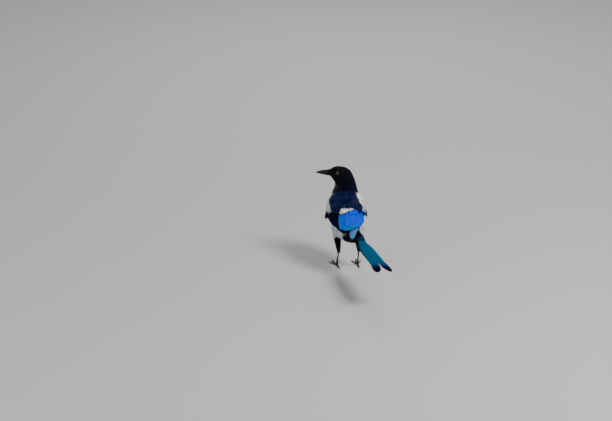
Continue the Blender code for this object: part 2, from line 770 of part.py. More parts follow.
def make_leg(leg, body, collection):
    """Feathered thigh, bare shank, toes with flats on the floor, and claws."""
    hip, thigh, heel, foot = (np.array(p, float) for p in leg[2:6])
    down = (foot - heel) / np.linalg.norm(foot - heel)
    turn_at = heel + down * HEEL_LENGTH
    bend = [hip, mix(hip, thigh, 0.5), thigh, mix(thigh, heel, 0.5), heel, turn_at]
    limb = tube("thigh_" + leg.name, bend, THIGH_RADII, collection, sides=16)
    combine(limb, [trunk_room(body, collection)], "DIFFERENCE")

    top = turn_at + down * GAP
    ankle = foot - down * ANKLE_UP
    shank = [top, mix(top, ankle, 0.15), mix(top, ankle, 0.8), ankle]
    tube("shank_" + leg.name, shank, SHANK_RADII, collection, sides=12)

    ball_end = foot + np.array([0, 1.5, -0.3])
    instep = [ankle + down * GAP, foot - down, foot, ball_end]
    sole = tube("foot_" + leg.name, instep, FOOT_RADII, collection, sides=12)
    toes = []
    for toe in TOES:
        turn = math.radians(leg.side * -toe.turn + leg.toes_turn)
        way = np.array([-math.sin(turn), math.cos(turn), 0.0])
        start = np.array([foot[0], foot[1], TOE_UP])
        joints = 3 if toe.name != "hind" else 2
        points, radii = [], []
        for i in range(joints * 3 + 1):
            share = i / (joints * 3)
            swell = 1.0 + PAD_SWELL * math.cos(2 * math.pi * share * joints)
            points.append(start + way * toe.length * share)
            radii.append(toe.radius * swell * mix(1.0, TOE_TAPER, share))
        toes.append(tube("toe", points, radii, collection, sides=8))
        make_claw(f"claw_{leg.name}_{toe.name}", toe, points[-1], way, radii[-1], collection)
    sole = combine(sole, toes, "UNION")
    # What lies below the floor comes off, which leaves small flats at one level.
    cut_off(sole, (0, 0, 0), (0, 0, -1))


def make_claw(name, toe, root, way, thick, collection):
    """A curved claw that arches up from its toe and tapers to a point just above the floor."""
    points, radii = [], []
    for i in range(CLAW_STEPS + 1):
        share = i / CLAW_STEPS
        arch = toe.claw * CLAW_ARCH * math.sin(math.pi * share) * smooth(0.0, 0.4, share)
        up = mix(root[2], CLAW_TIP_UP, smooth(0.1, 1.0, share)) + arch
        ahead = ROOM + toe.claw * CLAW_REACH * share
        points.append(np.array([root[0], root[1], up]) + way * ahead)
        radii.append(mix(thick * CLAW_ROOT, CLAW_TIP_RADIUS, share**0.9))
    tube(name, points, radii, collection, sides=8)


def main():
    for thing in list(bpy.data.objects):
        bpy.data.objects.remove(thing)
    magpie = bpy.data.collections.new("magpie")
    bpy.context.scene.collection.children.link(magpie)

    body = Tube(TRUNK + head_rings())
    sheet = Tube(WING_SHEET)
    make_head_neck_torso(body, magpie)
    make_upper_bill(magpie)
    make_lower_bill(magpie)
    make_tail(magpie)
    for name, side in (("wing_left", -1), ("wing_right", 1)):
        make_wing(name, sheet, side, magpie)
    for leg in LEGS:
        make_leg(leg, body, magpie)

    for thing in magpie.objects:
        give_material(thing)
        thing.data.shade_smooth()


main()
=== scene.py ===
"""A Eurasian magpie, life size, standing and looking over its left side.

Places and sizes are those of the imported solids. In their place come one skin, the coat of small
feathers, the wing and tail feathers, the eyes, bill, legs and claws, then a pale floor and soft
light.
Sizes are written in millimetres of the bird's own frame, which heads along +Y with its right
side at +X, and are turned into metres of the shared frame where a mesh is made.
"""

import math
from collections import namedtuple

import bpy
import numpy as np
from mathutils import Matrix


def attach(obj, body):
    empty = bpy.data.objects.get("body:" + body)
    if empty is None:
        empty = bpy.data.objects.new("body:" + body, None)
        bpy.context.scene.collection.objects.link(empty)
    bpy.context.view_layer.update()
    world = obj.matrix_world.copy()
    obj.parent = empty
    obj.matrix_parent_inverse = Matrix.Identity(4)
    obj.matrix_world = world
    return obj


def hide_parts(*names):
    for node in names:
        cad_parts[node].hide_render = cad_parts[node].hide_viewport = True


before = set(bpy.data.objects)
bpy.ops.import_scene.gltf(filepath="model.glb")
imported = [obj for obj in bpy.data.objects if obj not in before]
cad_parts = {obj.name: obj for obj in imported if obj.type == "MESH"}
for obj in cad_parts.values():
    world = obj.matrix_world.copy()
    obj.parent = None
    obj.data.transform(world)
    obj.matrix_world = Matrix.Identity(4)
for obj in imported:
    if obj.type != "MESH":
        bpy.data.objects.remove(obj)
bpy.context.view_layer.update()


# SKIN. The bird's body under its feathers, from the tail's root to the base of the bill, with
# the thighs, as one closed skin. It lies inside the solids by the depth of the coat, and is
# coloured like the feathers that grow from it.

MM = 0.001
# The origin of the shared frame in the bird's own millimetres.
MIDDLE = np.array([-13.1, -116.8, 0.0])

Ring = namedtuple("Ring", "side ahead up pitch turn half above below")
TRUNK = [
    Ring(6.5, -88, 90.0, 0, 0, 9.5, 5.0, 6.0),
    Ring(4.0, -78, 90.0, 8, 4, 13.5, 8.5, 11.5),
    Ring(-0.5, -62, 91.0, 16, 6, 20.5, 14.5, 21.0),
    Ring(-3.8, -42, 95.5, 26, 4, 28.5, 25.0, 33.0),
    Ring(-5.2, -20, 104.0, 34, 1, 34.0, 34.5, 48.0),
    Ring(-5.2, 1, 117.0, 42, -2, 36.0, 39.0, 53.0),
    Ring(-4.4, 17, 132.0, 51, -2, 35.5, 38.5, 47.5),
    Ring(-2.8, 26, 148.0, 61, 0, 33.0, 34.5, 38.0),
    Ring(-1.3, 28, 163.0, 73, 10, 27.5, 28.5, 30.5),
    Ring(-1.0, 23, 177.0, 84, 38, 23.3, 24.0, 24.0),
]
HEAD_TURN = 78.0
HEAD_SIDE, HEAD_AHEAD = -8.4, 22.0
# Each head ring: towards the bill, up, pitch, turn, half width, reach above and below.
HEAD = [
    (-4.6, 188.0, 68, 66, 20.8, 22.3, 22.0),
    (1.8, 199.2, 48, 76, 18.6, 22.0, 20.0),
    (12.4, 204.6, 28, 78, 16.6, 18.0, 15.8),
    (20.2, 206.4, 12, 78, 12.8, 13.2, 11.8),
    (26.0, 206.8, 0, 78, 8.2, 7.6, 7.3),
]


def head_place(towards_bill, side=0.0, up=0.0):
    """A point of the head in the bird's millimetres, from its place along and across it."""
    turn = math.radians(HEAD_TURN)
    x = HEAD_SIDE - towards_bill * math.sin(turn) + side * math.cos(turn)
    y = HEAD_AHEAD + towards_bill * math.cos(turn) + side * math.sin(turn)
    return np.stack(np.broadcast_arrays(x, y, up), -1).astype(float)


def smooth(low, high, x):
    """A share that eases from 0 at the low value to 1 at the high one."""
    share = np.clip((np.asarray(x, float) - low) / (high - low), 0.0, 1.0)
    return share * share * (3 - 2 * share)


def mix(a, b, share):
    """The value at a share of the way from one to another."""
    return a + (b - a) * share


def smooth_rows(rows, slopes, at, asked):
    """Rows on smooth curves through known rows, which lie at known distances, with slopes."""
    i = np.clip(np.searchsorted(at, asked) - 1, 0, len(at) - 2)
    step = (at[i + 1] - at[i])[..., None]
    x = (asked - at[i])[..., None] / step
    return (
        (1 + 2 * x) * (1 - x) ** 2 * rows[i]
        + x * (1 - x) ** 2 * step * slopes[i]
        + x * x * (3 - 2 * x) * rows[i + 1]
        + x * x * (x - 1) * step * slopes[i + 1]
    )


def round_angles(count):
    """Angles evenly round a circle."""
    return np.arange(count) * 2 * math.pi / count


def run_along(path):
    """How far along a path each of its points lies."""
    gaps = np.linalg.norm(np.diff(path, axis=0), axis=1)
    return np.concatenate([[0.0], np.cumsum(gaps)])


class Tube:
    """A smooth tube through oval rings. A place on it is a length, an angle in degrees from the
    back's middle line, positive to the right, and a lift off it. Past its ends it runs straight."""

    def __init__(self, rings):
        self.rows = np.array(rings, float)
        self.lengths = run_along(self.rows[:, :3])
        steps = np.linalg.norm(np.diff(self.rows[:, :3], axis=0), axis=1)[:, None]
        chords = np.diff(self.rows, axis=0) / steps
        inner = (chords[:-1] * steps[1:] + chords[1:] * steps[:-1]) / (steps[:-1] + steps[1:])
        self.slopes = np.vstack([chords[:1], inner, chords[-1:]])
        self.end = self.lengths[-1]

    def place(self, length, angle, lift=0.0):
        """Points in the bird's millimetres."""
        length, angle, lift = np.broadcast_arrays(
            np.asarray(length, float), np.asarray(angle, float), np.asarray(lift, float)
        )
        held = np.clip(length, 0.0, self.end)
        row = smooth_rows(self.rows, self.slopes, self.lengths, held)
        pitch, turn = np.radians(row[..., 3]), np.radians(row[..., 4])
        nothing = np.zeros_like(turn)
        right = np.stack([np.cos(turn), np.sin(turn), nothing], -1)
        heading = np.stack([-np.sin(turn), np.cos(turn), nothing], -1)
        upright = np.array([0.0, 0.0, 1.0])
        back = -heading * np.sin(pitch)[..., None] + upright * np.cos(pitch)[..., None]
        forward = heading * np.cos(pitch)[..., None] + upright * np.sin(pitch)[..., None]
        a = np.radians(angle)
        reach = np.where(np.cos(a) > 0, row[..., 6], row[..., 7])
        return (
            row[..., :3]
            + right * ((row[..., 5] + lift) * np.sin(a))[..., None]
            + back * ((reach + lift) * np.cos(a))[..., None]
            + forward * (length - held)[..., None]
        )


body = Tube(TRUNK + [Ring(*head_place(along)[:2], *rest) for along, *rest in HEAD])


def linear(hex_colour):
    """A screen colour, written as six hex digits, as three linear values."""
    shares = np.array([int(hex_colour[i : i + 2], 16) for i in (0, 2, 4)]) / 255
    return np.where(shares <= 0.04045, shares / 12.92, ((shares + 0.055) / 1.055) ** 2.4)


BLACK = linear("05060c")
FACE_BLACK = linear("07080f")
NAPE = linear("060e30")
MANTLE = linear("08194a")
BREAST = linear("06070e")
WHITE = linear("f2f4f8")
RUMP = linear("70747c")


def blend_colours(base, over, share):
    """A colour laid over another, by a share for each place."""
    return mix(base, over, np.clip(np.asarray(share, float), 0, 1)[..., None])


def markings(length, angle):
    """The plumage's colour at a place on the body."""
    length, angle = np.broadcast_arrays(np.asarray(length, float), np.asarray(angle, float))
    aside = np.abs((angle + 180) % 360 - 180)
    colour = blend_colours(MANTLE, NAPE, smooth(128, 165, length))
    colour = blend_colours(colour, FACE_BLACK, smooth(172, 196, length))
    colour = blend_colours(colour, BREAST, smooth(75, 110, aside) * smooth(205, 170, length))
    # The white runs from the breast's black edge back over the flanks, short of the vent.
    front = 104 - 9 * smooth(120, 180, aside)
    rear = np.where(angle < 0, 40, 20) + 16 * smooth(80, 140, aside)
    upper = 84 - 36 * smooth(74, 56, length)
    belly = smooth(upper, upper + 5, aside) * smooth(rear - 2, rear + 2, length)
    belly = belly * smooth(front + 2, front - 2, length)
    colour = blend_colours(colour, BLACK, smooth(36, 33, length))
    band = smooth(34, 37, length) * smooth(54, 50, length) * smooth(95, 88, aside)
    colour = blend_colours(colour, RUMP, band)
    return blend_colours(colour, WHITE, belly)


def mesh_piece(name, points, triangles, colours, places=None, detail=None):
    """A mesh in the shared frame, from points in the bird's millimetres and triangles, in one
    colour or one for each point, with each point's bake place and its place on its vane."""
    points = (np.asarray(points, float).reshape(-1, 3) - MIDDLE) * MM
    triangles = np.asarray(triangles, np.int32).reshape(-1, 3)
    mesh = bpy.data.meshes.new(name)
    mesh.vertices.add(len(points))
    mesh.vertices.foreach_set("co", points.astype(np.float32).ravel())
    mesh.loops.add(triangles.size)
    mesh.loops.foreach_set("vertex_index", triangles.ravel())
    mesh.polygons.add(len(triangles))
    mesh.polygons.foreach_set("loop_start", np.arange(0, triangles.size, 3, dtype=np.int32))
    mesh.update(calc_edges=True)
    mesh.polygons.foreach_set("use_smooth", np.ones(len(triangles), bool))
    for title, values in (("OFBake", places), ("Vane", detail)):
        if values is not None:
            layer = mesh.uv_layers.new(name=title)
            corners = np.asarray(values, np.float32).reshape(-1, 2)[triangles.ravel()]
            layer.data.foreach_set("uv", corners.ravel())
    layer = mesh.color_attributes.new("plumage", "FLOAT_COLOR", "POINT")
    full = np.ones((len(points), 4), np.float32)
    full[:, :3] = np.asarray(colours).reshape(-1, 3)
    layer.data.foreach_set("color", full.ravel())
    mesh.validate()
    piece = bpy.data.objects.new(name, mesh)
    bpy.context.scene.collection.objects.link(piece)
    return piece


def grid_triangles(rows, columns):
    """Triangles between rings of points, one ring to a row."""
    i, j = np.meshgrid(np.arange(rows - 1), np.arange(columns))
    i, j = i.ravel(), j.ravel()
    k = (j + 1) % columns
    a, b = i * columns + j, i * columns + k
    c, d = (i + 1) * columns + k, (i + 1) * columns + j
    return np.concatenate([np.stack([a, b, c], 1), np.stack([a, c, d], 1)])


def faces_out(points, triangles, middle=0.0):
    """Whether a closed body's triangles face outward, by the sign of its volume."""
    a, b, c = (points[triangles[:, n]] - middle for n in range(3))
    return np.einsum("ij,ij->", a, np.cross(b, c)) > 0


def capped_rings(rings):
    """Points and outward triangles of a closed body through rings, with a point at each end."""
    rings = np.asarray(rings, float)
    rows, columns = rings.shape[:2]
    points = np.concatenate([rings.reshape(-1, 3), [rings[0].mean(0)], [rings[-1].mean(0)]])
    j = np.arange(columns)
    k = (j + 1) % columns
    last = (rows - 1) * columns
    first_cap = np.stack([k, j, np.full(columns, rows * columns)], 1)
    last_cap = np.stack([last + j, last + k, np.full(columns, rows * columns + 1)], 1)
    triangles = np.concatenate([grid_triangles(rows, columns), first_cap, last_cap])
    if not faces_out(points, triangles):
        triangles = triangles[:, ::-1]
    return points, triangles


def join_parts(parts):
    """Points, triangles and further rows of several bodies as those of one."""
    counts = np.cumsum([0] + [len(part[0]) for part in parts])
    points = np.concatenate([part[0] for part in parts])
    triangles = np.concatenate([part[1] + start for part, start in zip(parts, counts)])
    rest = [np.concatenate([part[n] for part in parts]) for n in range(2, len(parts[0]))]
    return (points, triangles, *rest)


def add_node(tree, kind, settings=None, links=None):
    """Adds a node, sets its properties and inputs by name, and links its inputs to outputs."""
    made = tree.nodes.new(kind)
    for name, value in (settings or {}).items():
        if name in made.inputs:
            made.inputs[name].default_value = value
        else:
            setattr(made, name, value)
    for name, output in (links or {}).items():
        tree.links.new(made.inputs[name], output)
    return made


def start_material(name, settings):
    """A new material, its tree, its surface with these settings, and its place on the bird."""
    made = bpy.data.materials.new(name)
    made.use_nodes = True
    surface = made.node_tree.nodes["Principled BSDF"]
    for title, value in settings.items():
        surface.inputs[title].default_value = value
    place = add_node(made.node_tree, "ShaderNodeTexCoord").outputs["Object"]
    return made, made.node_tree, surface, place


def noise(tree, place, size_mm, detail):
    """Soft random patches of about this size."""
    settings = {"Scale": 1 / (size_mm * MM), "Detail": detail}
    return add_node(tree, "ShaderNodeTexNoise", settings, {"Vector": place}).outputs["Fac"]


def in_range(tree, value, low, high, value_low=0.0, value_high=1.0):
    """A value turned into a tone between low and high."""
    settings = {"From Min": value_low, "From Max": value_high, "To Min": low, "To Max": high}
    return add_node(tree, "ShaderNodeMapRange", settings, {"Value": value}).outputs["Result"]


def paint(tree, surface, tone, height, bump):
    """Gives a surface the piece's own colours, times a tone, and the bump of a height."""
    colour = add_node(tree, "ShaderNodeVertexColor", {"layer_name": "plumage"}).outputs["Color"]
    varied = add_node(tree, "ShaderNodeVectorMath", {"operation": "SCALE"}, {"Scale": tone})
    tree.links.new(varied.inputs[0], colour)
    tree.links.new(surface.inputs["Base Color"], varied.outputs["Vector"])
    uneven = add_node(tree, "ShaderNodeBump", bump, {"Height": height})
    tree.links.new(surface.inputs["Normal"], uneven.outputs["Normal"])


def plumage_material(name, roughness, bump_mm, grain_mm, metallic=0.0, sheen=0.0, spread=0.35):
    """Feather keratin. Its colour comes from the coat's own markings and varies a little from
    tuft to tuft, and fine barbs break up its gloss."""
    settings = {
        "Roughness": roughness,
        "Metallic": metallic,
        "Sheen Weight": sheen,
        "Sheen Roughness": 0.4,
        "Specular IOR Level": 0.22,
    }
    made, tree, surface, place = start_material(name, settings)
    tone = in_range(tree, noise(tree, place, 6, 3.0), 1 - spread, 1 + spread)
    paint(tree, surface, tone, noise(tree, place, grain_mm, 2.0), {"Distance": bump_mm * MM})
    return made


def coat_depth(length):
    """How deep the skin lies under the coat's surface: least on the face."""
    return mix(2.6, 0.9, smooth(150, 200, length))


def finish(piece, slot, *replaced):
    """Fixes a piece to the bird, in place of these solids if any. Its slot is not used."""
    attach(piece, "root")
    if replaced:
        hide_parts(*replaced)


def add_piece(name, made, finish_used, slot, *replaced):
    """A finished piece from its points, triangles, colours and, on feathers, its map places."""
    piece = mesh_piece(name, *made)
    piece.data.materials.append(finish_used)
    finish(piece, slot, *replaced)
    return piece


def unwrap(length, angle):
    """A place on the flat unwrap of the body, by its length and its angle."""
    along = 0.02 + 0.96 * (length + 12) / (body.end + 24)
    return np.stack([along, 0.02 + 0.96 * ((angle + 180) % 360) / 360], -1)


SKIN_RINGS, SKIN_SIDES = 110, 72
skin_lengths = np.linspace(0.8, body.end - 0.5, SKIN_RINGS)
skin_angles = np.arange(SKIN_SIDES) * 360 / SKIN_SIDES - 180
ll, aa = np.meshgrid(skin_lengths, skin_angles, indexing="ij")
skin_body = capped_rings(body.place(ll, aa, -coat_depth(ll)))
skin_colours = markings(np.append(ll, [0, body.end]), np.append(aa, [0, 0]))

# Each leg's joints, and the degrees that its toes turn.
Leg = namedtuple("Leg", "name side hip thigh heel foot toes_turn")
LEGS = [
    Leg("left", -1, (-21, 12, 92), (-25, -6, 67), (-26.5, -26, 44), (-25, 0, 2.6), 6),
    Leg("right", 1, (19, 8, 92), (19, -12, 67), (17.5, -31, 44), (20, -6, 2.6), -4),
]
THIGH_RADII = (15.0, 10.6, 7.6, 5.5, 3.3, 2.8)
HEEL_LENGTH = 2.5


def leg_points(leg):
    """The joints of a leg, and the way down its shank."""
    hip, thigh, heel, foot = (np.array(p, float) for p in leg[2:6])
    down = (foot - heel) / np.linalg.norm(foot - heel)
    return hip, thigh, heel, foot, down


def cross_frame(points):
    """Two directions across a path at each of its points, kept from twisting."""
    way = np.gradient(points, axis=0)
    way /= np.linalg.norm(way, axis=1)[:, None]
    side = np.zeros_like(way)
    start = np.array([1.0, 0.0, 0.0])
    for i in range(len(points)):
        start = start - way[i] * (start @ way[i])
        start /= np.linalg.norm(start)
        side[i] = start
    return side, np.cross(side, way)


def tube_rings(path, reach, sides):
    """Rings of points round a path, with a reach from it for each ring or each point."""
    side, over = cross_frame(path)
    a = round_angles(sides)
    return (
        path[:, None]
        + side[:, None] * (np.cos(a)[None, :, None] * reach[..., None])
        + over[:, None] * (np.sin(a)[None, :, None] * reach[..., None])
    )


def curve_through(points, steps):
    """Many points on a smooth curve through a few, and the share of the way of each."""
    points = np.asarray(points, float)
    at = run_along(points)
    s = np.linspace(0, at[-1], steps)
    return smooth_rows(points, np.gradient(points, at, axis=0), at, s), s / at[-1]


parts = [(*skin_body, skin_colours)]
for leg in LEGS:
    hip, thigh, heel, foot, down = leg_points(leg)
    knots = [hip, (hip + thigh) / 2, thigh, (thigh + heel) / 2, heel, heel + down * HEEL_LENGTH]
    curve, share = curve_through(knots, 40)
    knot_at = run_along(knots)
    radius = np.interp(share * knot_at[-1], knot_at, THIGH_RADII)
    deep = radius - np.minimum(1.2, 0.25 * radius)
    parts.append((*capped_rings(tube_rings(curve, deep[:, None], 24)), BLACK))

skin_finish = plumage_material("skin under black and white feathers", 0.6, 0.15, 0.6)
skin_parts = [mesh_piece(f"skin_{number}", *part) for number, part in enumerate(parts)]
skin = skin_parts[0]
for other in skin_parts[1:]:
    union = skin.modifiers.new("union", "BOOLEAN")
    union.object = other
    union.operation = "UNION"
    union.solver = "EXACT"
bpy.context.view_layer.update()
whole = bpy.data.meshes.new_from_object(skin.evaluated_get(bpy.context.evaluated_depsgraph_get()))
skin.modifiers.clear()
skin.data = whole
for other in skin_parts[1:]:
    bpy.data.objects.remove(other)
skin.name = "skin"
skin.data.materials.clear()
skin.data.materials.append(skin_finish)
finish(skin, "plumage_body", "head", "neck", "torso", "thigh_left", "thigh_right")


# COAT. The small feathers of head, neck, back, breast and belly. Each is a fan of narrow
# strands from one root, laid back along the body over the next ones, as contour feathers with
# their loose barbs are. They grow from the skin in staggered rows.

Lay = namedtuple("Lay", "length angle swing reach width low high")


# Where a strand has its cross-sections, as shares of its length, and the span of its bake patch.
STATIONS = np.array([0.0, 0.55, 1.0])
PATCH_HALF_WIDE, PATCH_LONG = 0.0014, 0.003


def surface_steps(sheet, length, angle):
    """How the length and angle change for one millimetre back along a sheet, and to the right."""
    h = 0.5
    along = (sheet.place(length + h, angle) - sheet.place(length - h, angle)) / (2 * h)
    around = (sheet.place(length, angle + h) - sheet.place(length, angle - h)) / (2 * h)
    stretch = (along * along).sum(-1)
    lean = (around * along).sum(-1) / stretch
    square = around - along * lean[..., None]
    wide = np.linalg.norm(square, axis=-1)
    return -1 / np.sqrt(stretch), lean, wide


def fans(sheet, lay, colour, strands, rng, thick=0.22, dome=0.5):
    """Many small feathers at once, each a fan of thin tapered strands on a sheet."""
    lay = Lay(*np.broadcast_arrays(*lay))
    count = len(lay.length)
    back_step, lean, wide = surface_steps(sheet, lay.length, lay.angle)
    u = np.linspace(-1, 1, strands)[None, :] + rng.normal(0, 0.06, (count, strands))
    t = STATIONS[None, None, :]
    length = lay.reach[:, None] * (1 - 0.3 * u * u) * rng.uniform(0.86, 1.08, (count, strands))
    x = lay.width[:, None, None] * u[:, :, None] * (0.3 + 0.7 * t**0.8)
    x = x + rng.normal(0, 0.05, (count, strands))[:, :, None] * length[:, :, None] * t * t
    y = length[:, :, None] * t
    high = (lay.high[:, None] - dome * u * u + rng.normal(0, 0.12, (count, strands)))[:, :, None]
    lift = mix(lay.low[:, None, None], high, np.sin(t * math.pi / 2))
    half = (1.25 * lay.width[:, None, None] / strands) * (0.65 + 0.5 * np.sin(math.pi * t))
    # Left, right and top corners of each cross-section, then one point at the tip.
    corners = np.array([-1.0, 1.0, 0.0])
    rings = len(STATIONS) - 1
    body_t = slice(0, rings)
    cx = x[:, :, body_t, None] + half[:, :, body_t, None] * corners
    cy = np.broadcast_to(y[:, :, body_t, None], cx.shape)
    rise = np.array([0.0, 0.0, thick])
    cz = lift[:, :, body_t, None] + rise
    flat = (count, strands, -1)
    cx = np.concatenate([cx.reshape(flat), x[:, :, -1:]], -1)
    cy = np.concatenate([cy.reshape(flat), y[:, :, -1:]], -1)
    cz = np.concatenate([cz.reshape(flat), lift[:, :, -1:]], -1)
    swing = np.radians(lay.swing)[:, None, None]
    sideways = cx * np.cos(swing) + cy * np.sin(swing)
    backwards = cy * np.cos(swing) - cx * np.sin(swing)
    angle = lay.angle[:, None, None] + sideways / wide[:, None, None]
    place_l = (
        lay.length[:, None, None]
        + backwards * back_step[:, None, None]
        - sideways * (lean / wide)[:, None, None]
    )
    points = sheet.place(place_l, angle, cz)
    faces = [(0, 1, 2)]
    for r in range(rings - 1):
        a = 3 * r
        for m, n in ((0, 1), (1, 2), (2, 0)):
            faces += [(a + m, a + n + 3, a + n), (a + m, a + m + 3, a + n + 3)]
    tip = 3 * rings
    a = 3 * (rings - 1)
    faces += [(a + 0, tip, a + 1), (a + 1, tip, a + 2), (a + 2, tip, a + 0)]
    each = tip + 1
    starts = np.arange(count * strands)[:, None, None] * each
    triangles = (np.array(faces)[None] + starts).reshape(-1, 3)
    tone = rng.uniform(0.88, 1.12, (count, strands, 1, 1))
    along = cy / np.maximum(length[:, :, None], 0.01)
    shade = (0.72 + 0.28 * along)[..., None] * tone
    colours = np.broadcast_to(colour, (count, 3))[:, None, None, :] * shade
    spot = unwrap(lay.length, lay.angle)[:, None, None, :]
    wide_patch = cx / lay.width[:, None, None] * PATCH_HALF_WIDE
    patch = np.stack([wide_patch, (along - 0.5) * PATCH_LONG], -1)
    return points.reshape(-1, 3), triangles, colours.reshape(-1, 3), (spot + patch).reshape(-1, 2)


def stagger(sheet, low, high, spacing, rng):
    """Staggered rows of roots on a sheet, about the spacing apart; it may vary with length."""
    lengths, angles = [], []
    at, row = low, 0
    while at < high:
        gap = spacing(at)
        total = run_along(sheet.place(np.full(73, at), np.linspace(-180, 180, 73)))
        number = max(int(total[-1] / gap), 6)
        marks = (np.arange(number) + 0.5 * (row % 2)) / number * total[-1]
        marks = marks + rng.uniform(-0.25, 0.25, number) * gap
        angles.append(np.interp(marks % total[-1], total, np.linspace(-180, 180, 73)))
        lengths.append(at + rng.uniform(-0.25, 0.25, number) * gap)
        at += gap * 0.92
        row += 1
    return np.concatenate(lengths), np.concatenate(angles)


def coat_reach(length, aside):
    """How long the small feathers are, by where on the body they grow."""
    reach = np.interp(length, [0, 40, 100, 140, 165, 180, 200, 216], [12, 15, 15, 12, 9, 7, 5, 3])
    return reach * (1 + 0.25 * smooth(90, 140, aside) * smooth(125, 90, length))


# The middle and radius of an eyeball, and the half width of its opening and how far out it lies.
EYE_TOWARDS_BILL, EYE_OUT, EYE_UP, EYE_RADIUS = 11.2, 12.9, 209.0, 4.8
EYE_OPENING, OPENING_OUT = 4.3, 16.2


def gap_to_eye(points):
    """How far points lie from the middle of the nearer eye's opening."""
    openings = [head_place(EYE_TOWARDS_BILL, side * OPENING_OUT, EYE_UP) for side in (-1, 1)]
    return np.minimum(*(np.linalg.norm(points - opening, axis=-1) for opening in openings))


coat_finish = plumage_material("black feather, loose barbs", 0.45, 0.08, 0.5, metallic=0.45)
white_finish = plumage_material("white feather, loose barbs", 0.7, 0.1, 0.6, sheen=0.2, spread=0.05)


def coat_piece(name, mask, low, high, spacing, strands, seed, finish_used, slot, **shape):
    """The small feathers of one part of the body, on the roots that the mask keeps."""
    rng = np.random.default_rng(seed)
    length, angle = stagger(body, low, high, spacing, rng)
    keep = mask(length, angle)
    length, angle = length[keep], angle[keep]
    reach = coat_reach(length, np.abs(angle)) * rng.uniform(0.85, 1.15, len(length))
    # Feathers near an eye are short, and none covers it.
    back_step = surface_steps(body, length, angle)[0]
    root_gap = gap_to_eye(body.place(length, angle))
    tip_gap = gap_to_eye(body.place(length + back_step * reach, angle))
    reach = np.where(tip_gap < EYE_OPENING + 0.6, reach * 0.45, reach)
    tip_gap = gap_to_eye(body.place(length + back_step * reach, angle))
    keep = (root_gap > EYE_OPENING + 0.5) & (tip_gap > EYE_OPENING)
    length, angle, reach = length[keep], angle[keep], reach[keep]
    width = reach * np.interp(length, [0, 150, 190, 216], [0.34, 0.32, 0.27, 0.22])
    swing = rng.normal(0, 5, len(length))
    lay = Lay(length, angle, swing, reach, width, -coat_depth(length) - 0.2, -0.1)
    made = fans(body, lay, markings(length, angle), strands, rng, **shape)
    add_piece(name, made, finish_used, slot)


def pale(length, angle):
    """Whether a place on the body is white or grey."""
    return markings(length, angle).mean(-1) > 0.2


# The gap between roots by how far along the body they lie, and the strands of a feather.
FACE_COAT = (lambda at: np.interp(at, [178, 200, 216], [2.1, 1.6, 1.15]), 5)
NECK_COAT = (lambda at: np.interp(at, [140, 182], [2.9, 2.2]), 7)
BODY_COAT = (lambda at: 3.3, 9)
# Each dark part's name, the roots it keeps, the least and greatest length, its coat and its seed.
for name, mask, low, high, coat, seed, shape in (
    ("head", lambda l, a: l > 181, 179, body.end - 0.3, FACE_COAT, 11, {"thick": 0.18, "dome": 0.2}),
    ("neck", lambda l, a: (l > 144) & (l <= 182), 142, 184, NECK_COAT, 12, {}),
    ("back", lambda l, a: (l <= 145) & (np.abs(a) < 92) & ~pale(l, a), 0, 147, BODY_COAT, 13, {}),
    ("breast", lambda l, a: (l <= 145) & (np.abs(a) >= 92) & ~pale(l, a), 0, 147, BODY_COAT, 14, {}),
):
    coat_piece(f"coat_{name}", mask, low, high, *coat, seed, coat_finish, "plumage_dark", **shape)
coat_piece("coat_belly", pale, 20, 125, *BODY_COAT, 15, white_finish, "plumage_body")


# TAIL. Twelve long feathers, folded so that the middle pair covers the rest, each pair outside
# it shorter and lower. A feather is a horn shaft with a web of barbs on each side, thinner at
# its edges, rooted in the flesh over the vent.

# Where a vane has its points: shares of a web's width, from left to right, and of its length.
VANE_ACROSS = np.array([-1.0, -0.86, -0.52, -0.14, 0.0, 0.14, 0.52, 0.86, 1.0])
VANE_ALONG = np.array(
    [0, 0.05, 0.12, 0.2, 0.3, 0.4, 0.5, 0.6, 0.7, 0.78, 0.85, 0.9, 0.94, 0.97, 0.985, 0.995, 1.0]
)
WEB_ROOT, VANE_THICK, UNDERSIDE_SHADE = 0.3, 0.34, 0.55
BARB_MM, SHAFT_SHADE = 0.9, 0.55


def webs(inner, outer, tip_from, point, rng):
    """Half widths of the two webs along a feather, with small splits in their edges."""
    t = VANE_ALONG
    rise = WEB_ROOT + (1 - WEB_ROOT) * smooth(0.0, 0.35, t)
    past = np.clip((t - tip_from) / (1 - tip_from), 0, 1)
    tip = np.maximum(1 - past**point, 0.0) ** (1 / 2.0)
    ragged = 1 - np.abs(rng.normal(0, 0.02, (2, len(t)))) - 0.1 * (rng.random((2, len(t))) < 0.06)
    shape = rise * np.maximum(tip, 0.03)
    return np.stack([inner * shape * ragged[0], outer * shape * ragged[1]])


